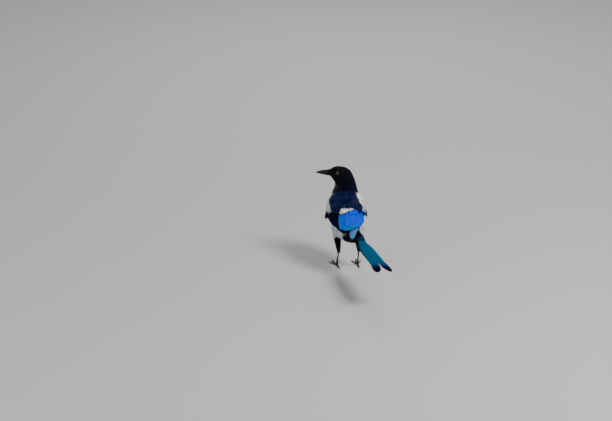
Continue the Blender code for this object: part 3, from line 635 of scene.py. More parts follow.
def lay_vane(sheet, lengths, angles, widths, lift, colours):
    """A feather's vane on a sheet, from its path, the half widths to its left and right, and
    its lift and colour at each place along and across it."""
    t = len(lengths)
    spine = sheet.place(lengths, angles)
    way = np.gradient(spine, axis=0)
    h = 0.5
    along = sheet.place(lengths + h, angles) - sheet.place(lengths - h, angles)
    around = sheet.place(lengths, angles + h) - sheet.place(lengths, angles - h)
    side = around - way * ((around * way).sum(-1) / (way * way).sum(-1))[:, None]
    side /= np.maximum(np.linalg.norm(side, axis=-1), 1e-9)[:, None]
    base = np.stack([along, around], -1)
    steps = np.stack([np.linalg.lstsq(base[i], side[i], rcond=None)[0] for i in range(t)])
    across = np.where(VANE_ACROSS < 0, widths[0][:, None], widths[1][:, None]) * VANE_ACROSS
    place_l = lengths[:, None] + steps[:, :1] * across
    place_a = angles[:, None] + steps[:, 1:] * across
    body_thick = VANE_THICK * (0.35 + 0.65 * (1 - VANE_ACROSS**2))
    ridge = 0.28 * (VANE_ACROSS == 0) * (1 - 0.8 * VANE_ALONG[:, None])
    top = sheet.place(place_l, place_a, lift + ridge)
    bottom = sheet.place(place_l, place_a, lift - body_thick)
    ring = np.concatenate([top, bottom[:, ::-1]], 1)
    rows, columns = ring.shape[:2]
    points = np.concatenate([ring.reshape(-1, 3), [ring[0].mean(0)], [ring[-1].mean(0)]])
    i, j = (n.ravel() for n in np.meshgrid(range(rows - 1), range(columns), indexing="ij"))
    corners = [(i, j), (i, j + 1), (i + 1, j + 1), (i + 1, j)]
    faces, spots = [], []
    for picked in ((0, 1, 2), (0, 2, 3)):
        faces.append(np.stack([corners[n][0] * columns + corners[n][1] % columns for n in picked], 1))
        spots.append(np.stack([np.stack([corners[n][1], corners[n][0]], -1) for n in picked], 1))
    j = np.arange(columns)
    rim = np.zeros(columns, int)
    for row, centre, beyond in ((0, rows * columns, -0.4), (rows - 1, rows * columns + 1, 0.4)):
        first, second = (j + 1, j) if row == 0 else (j, j + 1)
        ends = [row * columns + end % columns for end in (first, second)]
        faces.append(np.stack([*ends, rim + centre], 1))
        cap = [(first, rim + row), (second, rim + row), (j + 0.5, rim + row + beyond)]
        spots.append(np.array(cap).transpose(2, 0, 1))
    triangles = np.concatenate(faces)
    spots = np.concatenate(spots) / np.array([columns, rows])
    if not faces_out(points, triangles, points[0]):
        triangles, spots = triangles[:, ::-1], spots[:, ::-1]
    both = np.concatenate([colours, colours[:, ::-1] * UNDERSIDE_SHADE], 1).reshape(-1, 3)
    both = np.concatenate([both, both[:1], both[-1:]])
    run = run_along(spine)
    own = np.stack(np.broadcast_arrays(across, run[:, None]), -1)
    own = np.concatenate([own, own[:, ::-1]], 1).reshape(-1, 2)
    own = np.concatenate([own, own[:1], own[-1:]])
    return points, triangles, both, spots, own


def vanes_piece(name, made, finish_used, slot, *replaced):
    """Many vanes as one piece, each with a cell of its own in the bake map."""
    count = len(made)
    columns = math.ceil(math.sqrt(count / 2.5))
    rows = math.ceil(count / columns)
    moved = []
    for number, (points, triangles, colours, spots, own) in enumerate(made):
        cell = np.array([number % columns, number // columns])
        spots = (cell + 0.06 + 0.88 * np.clip(spots + [0, 0.03], 0, 1)) / [columns, rows]
        moved.append((points, triangles, colours, spots.reshape(-1, 2), own))
    piece = add_piece(name, join_parts(moved), finish_used, slot, *replaced)
    piece.data.set_sharp_from_angle(angle=math.radians(50))


def vane_material(name):
    """Flight feather keratin: smooth barbs, zipped together, at a slant to a darker shaft.
    Real barbs lie 0.3 mm apart; they are drawn wider so that they show."""
    settings = {"Roughness": 0.6, "Specular IOR Level": 0.0}
    made, tree, surface, place = start_material(name, settings)
    own = add_node(tree, "ShaderNodeUVMap", {"uv_map": "Vane"}).outputs["UV"]
    own = add_node(tree, "ShaderNodeSeparateXYZ", None, {"Vector": own}).outputs

    def work_out(operation, first, second=0):
        """The result of one sum on an output and a second output or a number."""
        node = add_node(tree, "ShaderNodeMath", {"operation": operation})
        tree.links.new(node.inputs[0], first)
        if isinstance(second, (int, float)):
            node.inputs[1].default_value = second
        else:
            tree.links.new(node.inputs[1], second)
        return node.outputs[0]

    aside = work_out("ABSOLUTE", own["X"])
    slant = work_out("SUBTRACT", own["Y"], work_out("MULTIPLY", aside, 1.3))
    barbs = work_out("SINE", work_out("MULTIPLY", slant, 2 * math.pi / BARB_MM))
    tone = in_range(tree, noise(tree, place, 7, 3.0), 0.78, 1.22)
    tone = work_out("MULTIPLY", tone, in_range(tree, barbs, 0.84, 1.1, -1.0, 1.0))
    tone = work_out("MULTIPLY", tone, in_range(tree, aside, SHAFT_SHADE, 1.0, 0.25, 0.5))
    paint(tree, surface, tone, barbs, {"Distance": 0.05 * MM, "Strength": 0.6})
    return made


TailPair = namedtuple("TailPair", "length half_width root middle tip")
TAIL_PAIRS = [
    TailPair(206, 9.0, 3.9, 7.4, 14.0),
    TailPair(184, 8.2, 3.9, 8.2, 11.5),
    TailPair(160, 7.8, 3.9, 8.4, 10.8),
    TailPair(136, 7.6, 3.9, 8.5, 10.6),
    TailPair(115, 7.2, 3.9, 8.6, 10.6),
    TailPair(94, 7.0, 3.9, 8.7, 10.6),
]
TAIL_ROOT = np.array([6.5, -88.0, 90.0])
TAIL_SWING, TAIL_ARCH, TAIL_SPREAD_FROM = 0.035, 0.006, 0.55
# How much lower each pair lies than the last, and how far the left middle one lies over the right.
TAIL_LEVEL, LEFT_OVER_RIGHT = 0.87, 0.7
TAIL_TEAL = linear("054a66")
TAIL_BASE = linear("05506c")
TAIL_VIOLET = linear("0d0a3c")
TAIL_TIP = linear("03030a")
TAIL_LIGHT = linear("3a8cc0")
TAIL_INNER = linear("04080a")


class TailSheet:
    """The gently arched sheet that the tail lies on, by distance behind the body and aside."""

    def place(self, back, aside, lift=0.0):
        back, aside, lift = np.broadcast_arrays(*(np.asarray(n, float) for n in (back, aside, lift)))
        side = TAIL_ROOT[0] + TAIL_SWING * back + aside
        return np.stack([side, TAIL_ROOT[1] - back, TAIL_ROOT[2] + lift - TAIL_ARCH * aside**2], -1)


def tail_colours(t, outer, pair, side):
    """Blue-green, then a violet band before a black tip; dark on the inner web, and paler along
    the right edge, where the photo's light catches it."""
    colour = blend_colours(TAIL_TEAL, TAIL_BASE, smooth(0.5, 0.1, t))
    colour = blend_colours(colour, TAIL_VIOLET, smooth(0.72, 0.86, t))
    colour = blend_colours(colour, TAIL_TIP, smooth(0.86, 0.96, t))
    if pair > 0:
        colour = blend_colours(colour, TAIL_INNER, smooth(0.1, -0.3, outer))
    if side > 0:
        colour = blend_colours(colour, TAIL_LIGHT, smooth(0.62, 0.95, outer) * smooth(0.85, 0.6, t))
    return colour


tail_sheet = TailSheet()
tail_rng = np.random.default_rng(31)
tail_vanes = []
for number, pair in enumerate(TAIL_PAIRS):
    for side in (-1, 1):
        t = VANE_ALONG
        level = (len(TAIL_PAIRS) / 2 - number) * TAIL_LEVEL
        if number == 0 and side < 0:
            level += LEFT_OVER_RIGHT
        bend = np.clip((t - TAIL_SPREAD_FROM) / (1 - TAIL_SPREAD_FROM), 0, 1) ** 2
        aside = mix(mix(pair.root, pair.middle, smooth(0.0, 0.6, t)), pair.tip, bend)
        lengths = mix(2.0, pair.length + 1.0, t)
        outer_web, inner_web = pair.half_width * 0.86, pair.half_width * 1.1
        if number == 0:
            outer_web = inner_web = pair.half_width
        widths = webs(inner_web, outer_web, 0.86, 2.2, tail_rng)
        widths = widths if side > 0 else widths[::-1]
        outer = VANE_ACROSS[None, :] * side + 0 * t[:, None]
        lift = level - 0.28 - 0.35 * VANE_ACROSS[None, :] ** 2 + 0 * t[:, None]
        colours = tail_colours(t[:, None] + 0 * outer, outer, number, side)
        tail_vanes.append(lay_vane(tail_sheet, lengths, side * aside, widths, lift, colours))
tail_finish = vane_material("tail feather, glossy barbs")
vanes_piece("tail_feathers", tail_vanes, tail_finish, "plumage_tail", "tail")


# WINGS. Each folded wing is a fleshy front under small coverts, with greater coverts, inner
# flight feathers and outer flight feathers tucked under each other behind it. The right wing
# lies over the left one across the rump.

WING_SHEET = [
    Ring(5.5, -132, 92.0, 2, 4, 14.5, 6.0, 6.0),
    Ring(4.0, -104, 91.5, 2, 4, 16.5, 7.0, 7.0),
    Ring(1.5, -80, 90.5, 8, 5, 19.5, 10.5, 13.0),
    Ring(-0.8, -62, 91.0, 16, 6, 23.0, 15.5, 22.0),
    Ring(-3.8, -42, 95.5, 26, 4, 29.5, 26.0, 34.0),
] + TRUNK[4:]
wing_sheet = Tube(WING_SHEET)
SHOULDER = wing_sheet.lengths[-3]

# Rows of the fleshy front: distance back of its lower and upper edge, their angles, thickness.
FRONT_ROWS = {
    1: [
        (8, -4, 92, 58, 1.4),
        (16, -3, 104, 50, 3.4),
        (33, 10, 103, 34, 3.9),
        (48, 29, 74, 17, 3.2),
        (58, 45, 50, 3, 2.4),
    ],
    -1: [
        (8, -4, 92, 58, 1.4),
        (16, -3, 105, 50, 4.8),
        (33, 10, 103, 36, 4.8),
        (46, 30, 78, 20, 3.2),
        (57, 46, 58, 6, 2.2),
    ],
}
FRONT_CLEAR = 0.8
RIGHT_WING_RISE = 8.6


def wing_rise(side, back, angle):
    """How far the right wing lifts to lie over the left one, near and past the middle line."""
    return (side > 0) * RIGHT_WING_RISE * smooth(14, 58, back) * (1 - smooth(14, 56, angle))


def front_place(side, step, share):
    """A place on the fleshy front, by shares of its length and of the way up it."""
    known = np.array(FRONT_ROWS[side])
    at = np.asarray(step, float) * (len(known) - 1)
    i = np.clip(at.astype(int), 0, len(known) - 2)
    rows = mix(known[i], known[i + 1], (at - i)[..., None])
    back = mix(rows[..., 0], rows[..., 1], share)
    angle = mix(rows[..., 2], rows[..., 3], share)
    bulge = np.maximum(0.7, rows[..., 4] * np.sin(math.pi * np.clip(share, 0, 1)) ** 0.6)
    return back, angle, FRONT_CLEAR + wing_rise(side, back, angle) + bulge


WING_BLUE = linear("0048d0")
# A dark navy. On the left wing it is painted shade: the right wing's blue, darkened as if the left
# wing lay in shade. On the right wing's greater coverts it darkens their roots.
WING_DEEP_AND_SHADED = linear("061034")
WING_TEAL = linear("087f9c")
WING_INNER = linear("05070f")
WING_BLACK = linear("05070f")
PRIMARY_EDGE = linear("0b3a52")
# Partly painted sheen: the primaries' own blue gloss, paled to grey-blue where their tips catch the
# light.
PRIMARY_TIP_SHEEN = linear("4f80b4")
PRIMARY_VIOLET = linear("2c4aa8")


def within(back, angle, corners):
    """Whether places lie inside an outline of (distance back, angle) corners."""
    inside = np.zeros(np.broadcast(back, angle).shape, bool)
    for (b0, a0), (b1, a1) in zip(corners, corners[1:] + corners[:1]):
        crosses = (a0 > angle) != (a1 > angle)
        inside ^= crosses & (back < b0 + (angle - a0) * (b1 - b0) / ((a1 - a0) or 1e-9))
    return inside


# The white shoulder patch of each side, the white gap over the blue panel, and the dark mantle
# that lies over the wings' roots, as outlines of (distance back, angle) places.
WHITE_LEFT = [
    (-2, -61), (22, -61), (36, -53), (39, -60), (31, -74), (21, -88), (15, -102), (4, -102),
    (-2, -84),
]
WHITE_RIGHT = [
    (4, 34), (24, 36), (46, 29), (58, 30), (52, 42), (40, 58), (30, 76), (20, 96), (6, 92),
    (4, 80),
]
WHITE_GAP = [(62, -18), (66, 6), (71, 4), (78, -19), (76, -25)]
MANTLE_CAPE = [
    (-8, -60), (0, -63), (22, -60), (42, -50), (62, -46), (65, -18), (70, 12), (79, 25),
    (62, 27), (44, 30), (24, 36), (4, 34), (-8, 36),
]


def wing_markings(side, back, angle):
    """Colours of the small coverts on a wing's front: black, with blue on the right one's rear, and
    on the left one's rear a dark navy that is that blue in painted shade.
    """
    back, angle = np.broadcast_arrays(np.asarray(back, float), np.asarray(angle, float))
    if side > 0:
        colour = blend_colours(WING_BLACK, WING_BLUE, smooth(34, 44, back) * smooth(96, 80, angle))
        return blend_colours(colour, WHITE, within(back, angle, WHITE_RIGHT))
    # The left wing's rear coverts are dark navy: the right wing's blue in painted shade.
    colour = blend_colours(WING_BLACK, WING_DEEP_AND_SHADED, smooth(20, 40, back) * smooth(110, 60, angle))
    return blend_colours(colour, WHITE, within(back, -angle, WHITE_LEFT))


def wing_colours(side, kind, inward, t, outer):
    """Colours over one vane: kind by kind, by how far in the feather lies, along and across."""
    t, outer = np.broadcast_arrays(t, outer)
    if kind == "primary":
        # The left wing's primaries are plain black: painted shade, without the right wing's teal
        # edges, violet and pale sheen.
        if side < 0:
            return np.broadcast_to(WING_INNER, (*t.shape, 3))
        colour = blend_colours(WING_INNER, PRIMARY_EDGE, smooth(-0.5, 0.2, outer))
        violet = smooth(0.35, 0.6, t) * smooth(-0.8, 0.0, outer)
        colour = blend_colours(colour, PRIMARY_VIOLET, violet)
        # Towards the tips of the inner primaries the colour pales to grey-blue, a painted sheen over
        # their blue gloss.
        return blend_colours(colour, PRIMARY_TIP_SHEEN, smooth(0.6, 0.85, t) * smooth(0.0, 0.5, inward))
    # The left wing's secondaries and coverts are dark navy going to black: the right wing's blue in
    # painted shade.
    if side < 0:
        dark = smooth(0.4, -0.4, outer) * 0.7 + smooth(0.6, 1, t) * 0.3
        return blend_colours(WING_DEEP_AND_SHADED, WING_BLACK, dark)
    if kind == "secondary":
        edge = smooth(0.93, 0.985, t) + smooth(0.55, 0.95, -outer) * smooth(0.85, 1.0, inward)
        colour = blend_colours(WING_BLUE, WING_TEAL, edge * 0.85)
        return blend_colours(colour, WING_INNER, smooth(0.55, 0.1, t) * 0.6)
    return blend_colours(WING_BLUE, WING_DEEP_AND_SHADED, smooth(0.5, 0.1, t) * 0.6)


def tier_vanes(side, tier, rng):
    """The vanes of one row of a wing, from its outermost to its innermost."""
    made = []
    for number in range(tier.count):
        inward = number / (tier.count - 1)
        root = mix(*np.array(tier.root, float), inward)
        tip = mix(*np.array(tier.tip, float), inward)
        tip = tip + np.array([tier.bow * math.sin(math.pi * inward**1.5), 0.0])
        t = VANE_ALONG
        back = mix(root[0], tip[0], t) + rng.normal(0, 0.5) * t
        angle = mix(root[1], tip[1], t) - 6.0 * np.sin(math.pi * t)
        half = mix(*tier.widths, inward)
        inner_share, outer_share = tier.webbing
        widths = webs(half * inner_share, half * outer_share, tier.tip_from, tier.point, rng)
        # The outer web lies towards the wing's lower edge: to the right on the right wing.
        widths = widths if side > 0 else widths[::-1]
        outer = VANE_ACROSS[None, :] * side
        first_lift, last_lift = tier.lifts
        tip_lift = mix(mix(first_lift, last_lift, 0.25), last_lift, smooth(0.1, 0.7, inward))
        height = mix(first_lift, tip_lift, smooth(0.0, 0.5, t))
        lift = height[:, None] + tier.tilt * (1 + outer) / 2 + 0.55
        lift = lift - 0.35 * VANE_ACROSS[None, :] ** 2
        lift = lift + wing_rise(side, back, angle)[:, None]
        colours = wing_colours(side, tier.kind, inward, t[:, None], outer)
        made.append(lay_vane(wing_sheet, SHOULDER - back, side * angle, widths, lift, colours))
    return made


# A row of flight feathers or greater coverts: the root and tip of its outermost and innermost
# feather as (distance back, angle) places, half widths, lifts, tilt, the shares of the inner and
# outer web, the tip's start and point, and how far the middle tips reach past a straight row.
Tier = namedtuple("Tier", "kind count root tip widths lifts tilt webbing tip_from point bow")
TIERS = {
    1: [
        Tier(
            "primary", 10, [(36, 84), (50, 58)], [(100, 36), (165, -42)],
            (4.6, 5.4), (2.9, 2.2), 1.4, (1.2, 0.6), 0.8, 1.8, 0,
        ),
        Tier(
            "secondary", 11, [(50, 66), (42, 10)], [(98, 30), (111, -34)],
            (6.2, 8.6), (3.0, 5.7), 1.6, (1.1, 0.85), 0.92, 3.2, 22,
        ),
        Tier(
            "covert", 10, [(31, 78), (22, 26)], [(57, 42), (84, 2)],
            (5.0, 6.4), (2.8, 8.2), 1.2, (1.05, 0.9), 0.84, 2.6, 0,
        ),
    ],
    -1: [
        Tier(
            "primary", 10, [(38, 96), (54, 78)], [(112, 60), (148, -6)],
            (4.8, 5.6), (2.5, 2.1), 1.4, (1.2, 0.6), 0.8, 1.8, 0,
        ),
        Tier(
            "secondary", 10, [(54, 86), (42, 20)], [(114, 50), (108, -4)],
            (6.4, 8.6), (2.7, 4.8), 1.6, (1.1, 0.85), 0.9, 2.8, 0,
        ),
        Tier(
            "covert", 10, [(31, 84), (24, 32)], [(56, 64), (68, 14)],
            (5.0, 6.2), (2.6, 6.9), 1.2, (1.05, 0.9), 0.84, 2.6, 0,
        ),
    ],
}

front_grid = np.meshgrid(np.linspace(0, 1, 60), np.linspace(0, 1, 50), indexing="ij")


def front_lift(side, back, angle):
    """The lift of a wing's fleshy front at places, or of the flight feathers' roots beside it."""
    grid_back, grid_angle, grid_lift = front_place(side, *front_grid)
    known = np.stack([grid_back.ravel(), grid_angle.ravel() * 0.6], 1)
    asked = np.stack([np.ravel(back), np.ravel(angle) * 0.6], 1)
    out = np.empty(len(asked))
    for start in range(0, len(asked), 2000):
        gap = ((asked[start : start + 2000, None] - known[None]) ** 2).sum(-1)
        nearest = gap.argmin(1)
        out[start : start + 2000] = grid_lift.ravel()[nearest] - 0.25 * np.sqrt(gap.min(1))
    least = 3.4 + 7.4 * smooth(26, 48, asked[:, 0]) + wing_rise(side, asked[:, 0], asked[:, 1] / 0.6)
    return np.maximum(out, least).reshape(np.shape(back))


# The two wing materials are the same; the left wing's darkness is painted shade in its colours.
wing_finish = {
    1: vane_material("blue wing feather, glossy barbs"),
    -1: vane_material("dark wing feather, glossy barbs"),
}
small_finish = plumage_material("wing covert, close barbs", 0.5, 0.08, 0.5, metallic=0.4, spread=0.2)
COVERT_ROWS, COVERTS_A_ROW = 17, 26
row, number = np.divmod(np.arange(COVERT_ROWS * COVERTS_A_ROW), COVERTS_A_ROW)
covert_steps = np.linspace(0.0, 0.93, COVERT_ROWS)[row]
covert_shares = (number + 0.5 * (row % 2)) / COVERTS_A_ROW
flesh_grid = np.meshgrid(np.linspace(0, 1, 40), np.linspace(0, 1, 28), indexing="ij")
for side, word in ((1, "right"), (-1, "left")):
    wing_rng = np.random.default_rng(40 + side)
    vanes = []
    for tier in TIERS[side]:
        vanes += tier_vanes(side, tier, wing_rng)
    vanes_piece(f"wing_feathers_{word}", vanes, wing_finish[side], "plumage_wing", f"wing_{word}")

    # The flesh under the coverts.
    back, angle, lift = front_place(side, *flesh_grid)
    outer = wing_sheet.place(SHOULDER - back, side * angle, lift - 1.2)
    inner = wing_sheet.place(SHOULDER - back, side * angle, wing_rise(side, back, angle) - 0.5)
    colours = wing_markings(side, back, angle)
    colours = np.concatenate([colours, colours[:, ::-1]], 1).reshape(-1, 3)
    colours = np.concatenate([colours, colours[:1], colours[-1:]])
    made = (*capped_rings(np.concatenate([outer, inner[:, ::-1]], 1)), colours)
    add_piece(f"wing_front_{word}", made, small_finish, "plumage_wing")

    # The small coverts over it, in staggered rows.
    places = np.stack([covert_steps, covert_shares], 1)
    places = places + wing_rng.uniform(-0.012, 0.012, places.shape)
    back, angle, lift = front_place(side, *np.clip(places, 0, 1).T)
    reach = np.interp(back, [0, 66], [9.0, 13.5]) * wing_rng.uniform(0.9, 1.12, len(back))
    tip_lift = front_lift(side, back + reach, angle)
    swing = wing_rng.normal(0, 4, len(back))
    lay = Lay(SHOULDER - back, side * angle, swing, reach, reach * 0.36, lift - 1.5, tip_lift + 0.3)
    made = fans(wing_sheet, lay, wing_markings(side, back, angle), 7, wing_rng, dome=0.4)
    add_piece(f"wing_coverts_{word}", made, small_finish, "plumage_wing")


# MANTLE AND SCAPULARS. The dark feathers of the upper back lie over both wings' roots, and the
# long loose white shoulder feathers come out from under them on each side and in the middle.


def top_lift(back, angle):
    """The lift of what lies uppermost at a place: the right wing, the left one or the back."""
    inner_right = np.interp(back, [22, 42, 60, 80, 113], [18, -4, -18, -30, -50])
    inner_left = np.interp(back, [24, 42, 68, 108], [22, 8, 2, -14])
    # Each is worked out a little before its feathers begin, so that the step is a short slope.
    right = front_lift(1, back, angle) * smooth(inner_right - 10, inner_right + 2, angle)
    left = front_lift(-1, back, -angle) * smooth(inner_left - 10, inner_left + 2, -angle)
    return np.maximum(np.maximum(right, left), 0.4)


def overlay(name, outline, gap, reach, colour, over, strands, seed, finish_used, slot, swing=0.0):
    """Small feathers whose tips fill an outline on the wing sheet, over what lies there."""
    rng = np.random.default_rng(seed)
    corners = np.array(outline, float)
    low, high = corners.min(0), corners.max(0)
    rows = []
    for row, back in enumerate(np.arange(low[0], high[0], gap * 0.8)):
        angles = np.arange(low[1], high[1], gap / 0.62)
        angles = angles + (row % 2) * gap / 1.24 + rng.uniform(-0.5, 0.5, len(angles)) * gap
        rows.append(np.stack([back + rng.uniform(-0.35, 0.35, len(angles)) * gap, angles], 1))
    tips = np.concatenate(rows)
    tips = tips[within(tips[:, 0], tips[:, 1], outline)]
    count = len(tips)
    reaches = reach * rng.uniform(0.85, 1.1, count)
    back, angle = tips[:, 0] - reaches, tips[:, 1]
    under = top_lift(back, angle)
    above = top_lift(tips[:, 0], angle)
    # Towards the neck they sink into the coat of the body.
    start = smooth(-8, 16, tips[:, 0])
    low_lift = (under + over * 0.3) * start - 2.0 * (1 - start)
    high_lift = (above + over) * start
    turn = rng.normal(swing, 5, count)
    lay = Lay(SHOULDER - back, angle, turn, reaches, reaches * 0.33, low_lift, high_lift)
    shade = blend_colours(colour, NAPE, (1 - start) * (colour is MANTLE))
    add_piece(name, fans(wing_sheet, lay, shade, strands, rng), finish_used, slot)


overlay("scapulars_left", WHITE_LEFT, 2.6, 10, WHITE, 1.2, 9, 51, white_finish, "plumage_body", 4)
overlay("scapulars_right", WHITE_RIGHT, 2.6, 10, WHITE, 1.2, 9, 52, white_finish, "plumage_body", -4)
overlay("scapulars_middle", WHITE_GAP, 2.0, 12, WHITE, 1.0, 9, 53, white_finish, "plumage_body")
overlay("mantle", MANTLE_CAPE, 3.0, 13, MANTLE, 1.7, 9, 54, coat_finish, "plumage_dark")


# FLANKS. Long loose white feathers hang over the flanks and over the lower edge of each wing.

flank_rng = np.random.default_rng(91)
flank_parts = []
for angle_from, angle_to, length_from, length_to in ((44, 84, 26, 66), (-122, -84, 46, 84)):
    length, angle = stagger(body, length_from, length_to, lambda at: 3.0, flank_rng)
    keep = (angle > angle_from) & (angle < angle_to)
    length, angle = length[keep], angle[keep]
    reach = flank_rng.uniform(15, 21, len(length))
    swing = flank_rng.normal(0, 6, len(length))
    tip_lift = flank_rng.uniform(0.8, 2.4, len(length))
    lay = Lay(length, angle, swing, reach, reach * 0.27, -1.8, tip_lift)
    flank_parts.append(fans(body, lay, WHITE, 9, flank_rng))
add_piece("flank_feathers", join_parts(flank_parts), white_finish, "plumage_body")


# THIGHS. Short feathers clothe each leg to the heel, white over the flank's fall and black below.

THIGH_COAT_RADII = (3.4, 5.6, 7.8, 10.8, 15.0)
for leg in LEGS:
    hip, thigh, heel, foot, down = leg_points(leg)
    knots = [heel, (heel + thigh) / 2, thigh, (thigh + hip) / 2, hip]
    limb = Tube([Ring(*knot, 52, 0, r, r, r) for knot, r in zip(knots, THIGH_COAT_RADII)])
    thigh_rng = np.random.default_rng(60 + leg.side)
    length, angle = stagger(limb, 0.5, limb.end, lambda at: 2.4, thigh_rng)
    reach = np.interp(length, [0, 15, 50], [5.5, 8.0, 12.0])
    pale_share = smooth(34, 39, length)
    colour = blend_colours(BLACK, WHITE * 0.8, pale_share)
    for word, keep, used, slot in (
        ("dark", pale_share < 0.5, coat_finish, "plumage_dark"),
        ("pale", pale_share >= 0.5, white_finish, "plumage_body"),
    ):
        swing = thigh_rng.normal(0, 7, keep.sum())
        lay = Lay(length[keep], angle[keep], swing, reach[keep], reach[keep] * 0.3, -1.0, 0.7)
        made = fans(limb, lay, colour[keep], 7, thigh_rng, dome=0.3)
        add_piece(f"thigh_coat_{word}_{leg.name}", made, used, slot)


# TAIL COVERTS. Longer dark feathers round the tail's root, over and under the tail.

covert_rng = np.random.default_rng(71)
length, angle = stagger(body, 0.5, 22, lambda at: 2.8, covert_rng)
reach = covert_rng.uniform(15, 22, len(length))
swing = covert_rng.normal(0, 5, len(length))
lay = Lay(length, angle, swing, reach, reach * 0.2, -1.5, 1.2)
colour = blend_colours(BLACK, TAIL_BASE * 0.7, smooth(75, 55, np.abs(angle - 20)))
add_piece("tail_coverts", fans(body, lay, colour, 7, covert_rng), coat_finish, "plumage_dark")


# EYES. Dark brown eyes with black pupils, wet and glossy, each in a ring of bare dark lid.


def skin_material(name, roughness, grain_mm, bump_mm, gloss=0.0, specular=0.4):
    """Skin, horn or a wet eye: its own colours, mottled a little, with a fine uneven surface."""
    settings = {
        "Roughness": roughness,
        "Coat Weight": gloss,
        "Coat Roughness": 0.03,
        "Specular IOR Level": specular,
    }
    made, tree, surface, place = start_material(name, settings)
    grain = noise(tree, place, grain_mm, 4.0)
    paint(tree, surface, in_range(tree, grain, 0.6, 1.4), grain, {"Distance": bump_mm * MM})
    return made


PUPIL = linear("010101")
IRIS = linear("2a160c")
EYE_RIM = linear("060404")
LID = linear("060607")
# Degrees from the middle of the eye's front to the edges of pupil and iris.
PUPIL_EDGE, IRIS_EDGE = 33.0, 60.0
LID_OPENING, LID_ROLL = 3.95, 0.72
LID_STEPS, LID_SIDES = 72, 14
eye_finish = skin_material("wet dark eye", 0.08, 0.5, 0.0, gloss=0.5, specular=0.3)
lid_finish = skin_material("bare dark lid", 0.6, 0.35, 0.08, specular=0.15)
for side, word in ((-1, "left"), (1, "right")):
    out_way = head_place(0, side) - head_place(0, 0)
    bill_way = head_place(1) - head_place(0)
    up_axis = np.array([0.0, 0.0, 1.0])
    centre = head_place(EYE_TOWARDS_BILL, side * EYE_OUT, EYE_UP)
    from_front = np.radians(np.linspace(2, 178, 60))
    ff, ar = np.meshgrid(from_front, round_angles(48), indexing="ij")
    ball = centre + EYE_RADIUS * (
        np.cos(ff)[..., None] * out_way
        + (np.sin(ff) * np.cos(ar))[..., None] * bill_way
        + (np.sin(ff) * np.sin(ar))[..., None] * up_axis
    )
    points, triangles = capped_rings(ball)
    degrees = np.degrees(np.concatenate([ff.ravel(), [0, math.pi]]))
    colours = blend_colours(EYE_RIM, IRIS, smooth(IRIS_EDGE + 3, IRIS_EDGE - 3, degrees))
    colours = blend_colours(colours, PUPIL, smooth(PUPIL_EDGE + 2, PUPIL_EDGE - 2, degrees))
    made = (points, triangles, colours)
    add_piece(f"eyeball_{word}", made, eye_finish, "eye", f"eye_{word}")

    # The lids as one soft roll round the opening, lower at its front and back corners.
    a, b = np.meshgrid(round_angles(LID_STEPS), round_angles(LID_SIDES), indexing="ij")
    roll = LID_ROLL + 0.06 * np.sin(9 * a + 1.0)
    wide, high = LID_OPENING * 1.06 * np.cos(a), LID_OPENING * 0.94 * np.sin(a)
    depth = np.sqrt(EYE_RADIUS**2 - np.minimum(wide**2 + high**2, 20.0)) + 0.1
    spread = (LID_OPENING + roll * np.cos(b)) / LID_OPENING
    lids = (
        centre
        + (wide * spread)[..., None] * bill_way
        + (high * spread)[..., None] * up_axis
        + (depth + roll * np.sin(b))[..., None] * out_way
    )
    lids = np.concatenate([lids, lids[:1]])
    flat = grid_triangles(LID_STEPS + 1, LID_SIDES)
    points = lids.reshape(-1, 3)
    if not faces_out(points, flat, centre):
        flat = flat[:, ::-1]
    # The last ring is the first one again, so its points are made the same.
    flat = flat % (LID_STEPS * LID_SIDES)
    made = (points[: LID_STEPS * LID_SIDES], flat, LID)
    add_piece(f"lids_{word}", made, lid_finish, "leg_skin")


# BILL. Two halves of black horn that meet along the mouth line, hollow-cored in life and sheathed
# in thin keratin, rooted in the skull under short forward-lying bristles.

# Each station: towards the bill's tip, half width, and the height of ridge, mouth and underside.
BILL = [
    (20.5, 7.4, 213.4, 203.0, 199.2),
    (26.3, 6.9, 213.6, 203.4, 199.8),
    (32.0, 6.2, 213.6, 203.9, 200.6),
    (39.0, 5.0, 213.2, 204.8, 202.0),
    (46.0, 3.8, 212.0, 205.6, 203.6),
    (52.0, 2.5, 210.2, 206.2, 205.0),
    (56.0, 1.3, 208.2, 206.5, 205.8),
    (58.2, 0.45, 206.9, 206.2, 205.9),
]
MOUTH_GAP, UPPER_FLAT, LOWER_FLAT, LOWER_WIDTH = 0.15, 0.5, 0.3, 0.92
HORN = linear("060709")
bill_rows, _ = curve_through(BILL, 44)
horn_finish = skin_material("black bill horn", 0.34, 1.1, 0.05, specular=0.35)
a = round_angles(32)
for word, upper in (("upper", True), ("lower", False)):
    rings = []
    for along, half, top, mouth, under in bill_rows if upper else bill_rows[:-3]:
        if upper:
            up = mouth + MOUTH_GAP + UPPER_FLAT
            above, below, wide = max(top - up, 0.3), UPPER_FLAT, half
        else:
            up = mouth - MOUTH_GAP - LOWER_FLAT
            above, below, wide = LOWER_FLAT, max(up - under, 0.3), half * LOWER_WIDTH
        # The ridge along the top is a little sharper than an oval's.
        ridge = 1 - 0.1 * np.clip(np.cos(a), 0, 1) ** 2 * upper
        reach = np.where(np.cos(a) > 0, above, below)
        rings.append(head_place(along, wide * np.sin(a) * ridge, up + reach * np.cos(a)))
    made = (*capped_rings(rings), HORN)
    add_piece(f"bill_horn_{word}", made, horn_finish, "bill", f"bill_{word}")

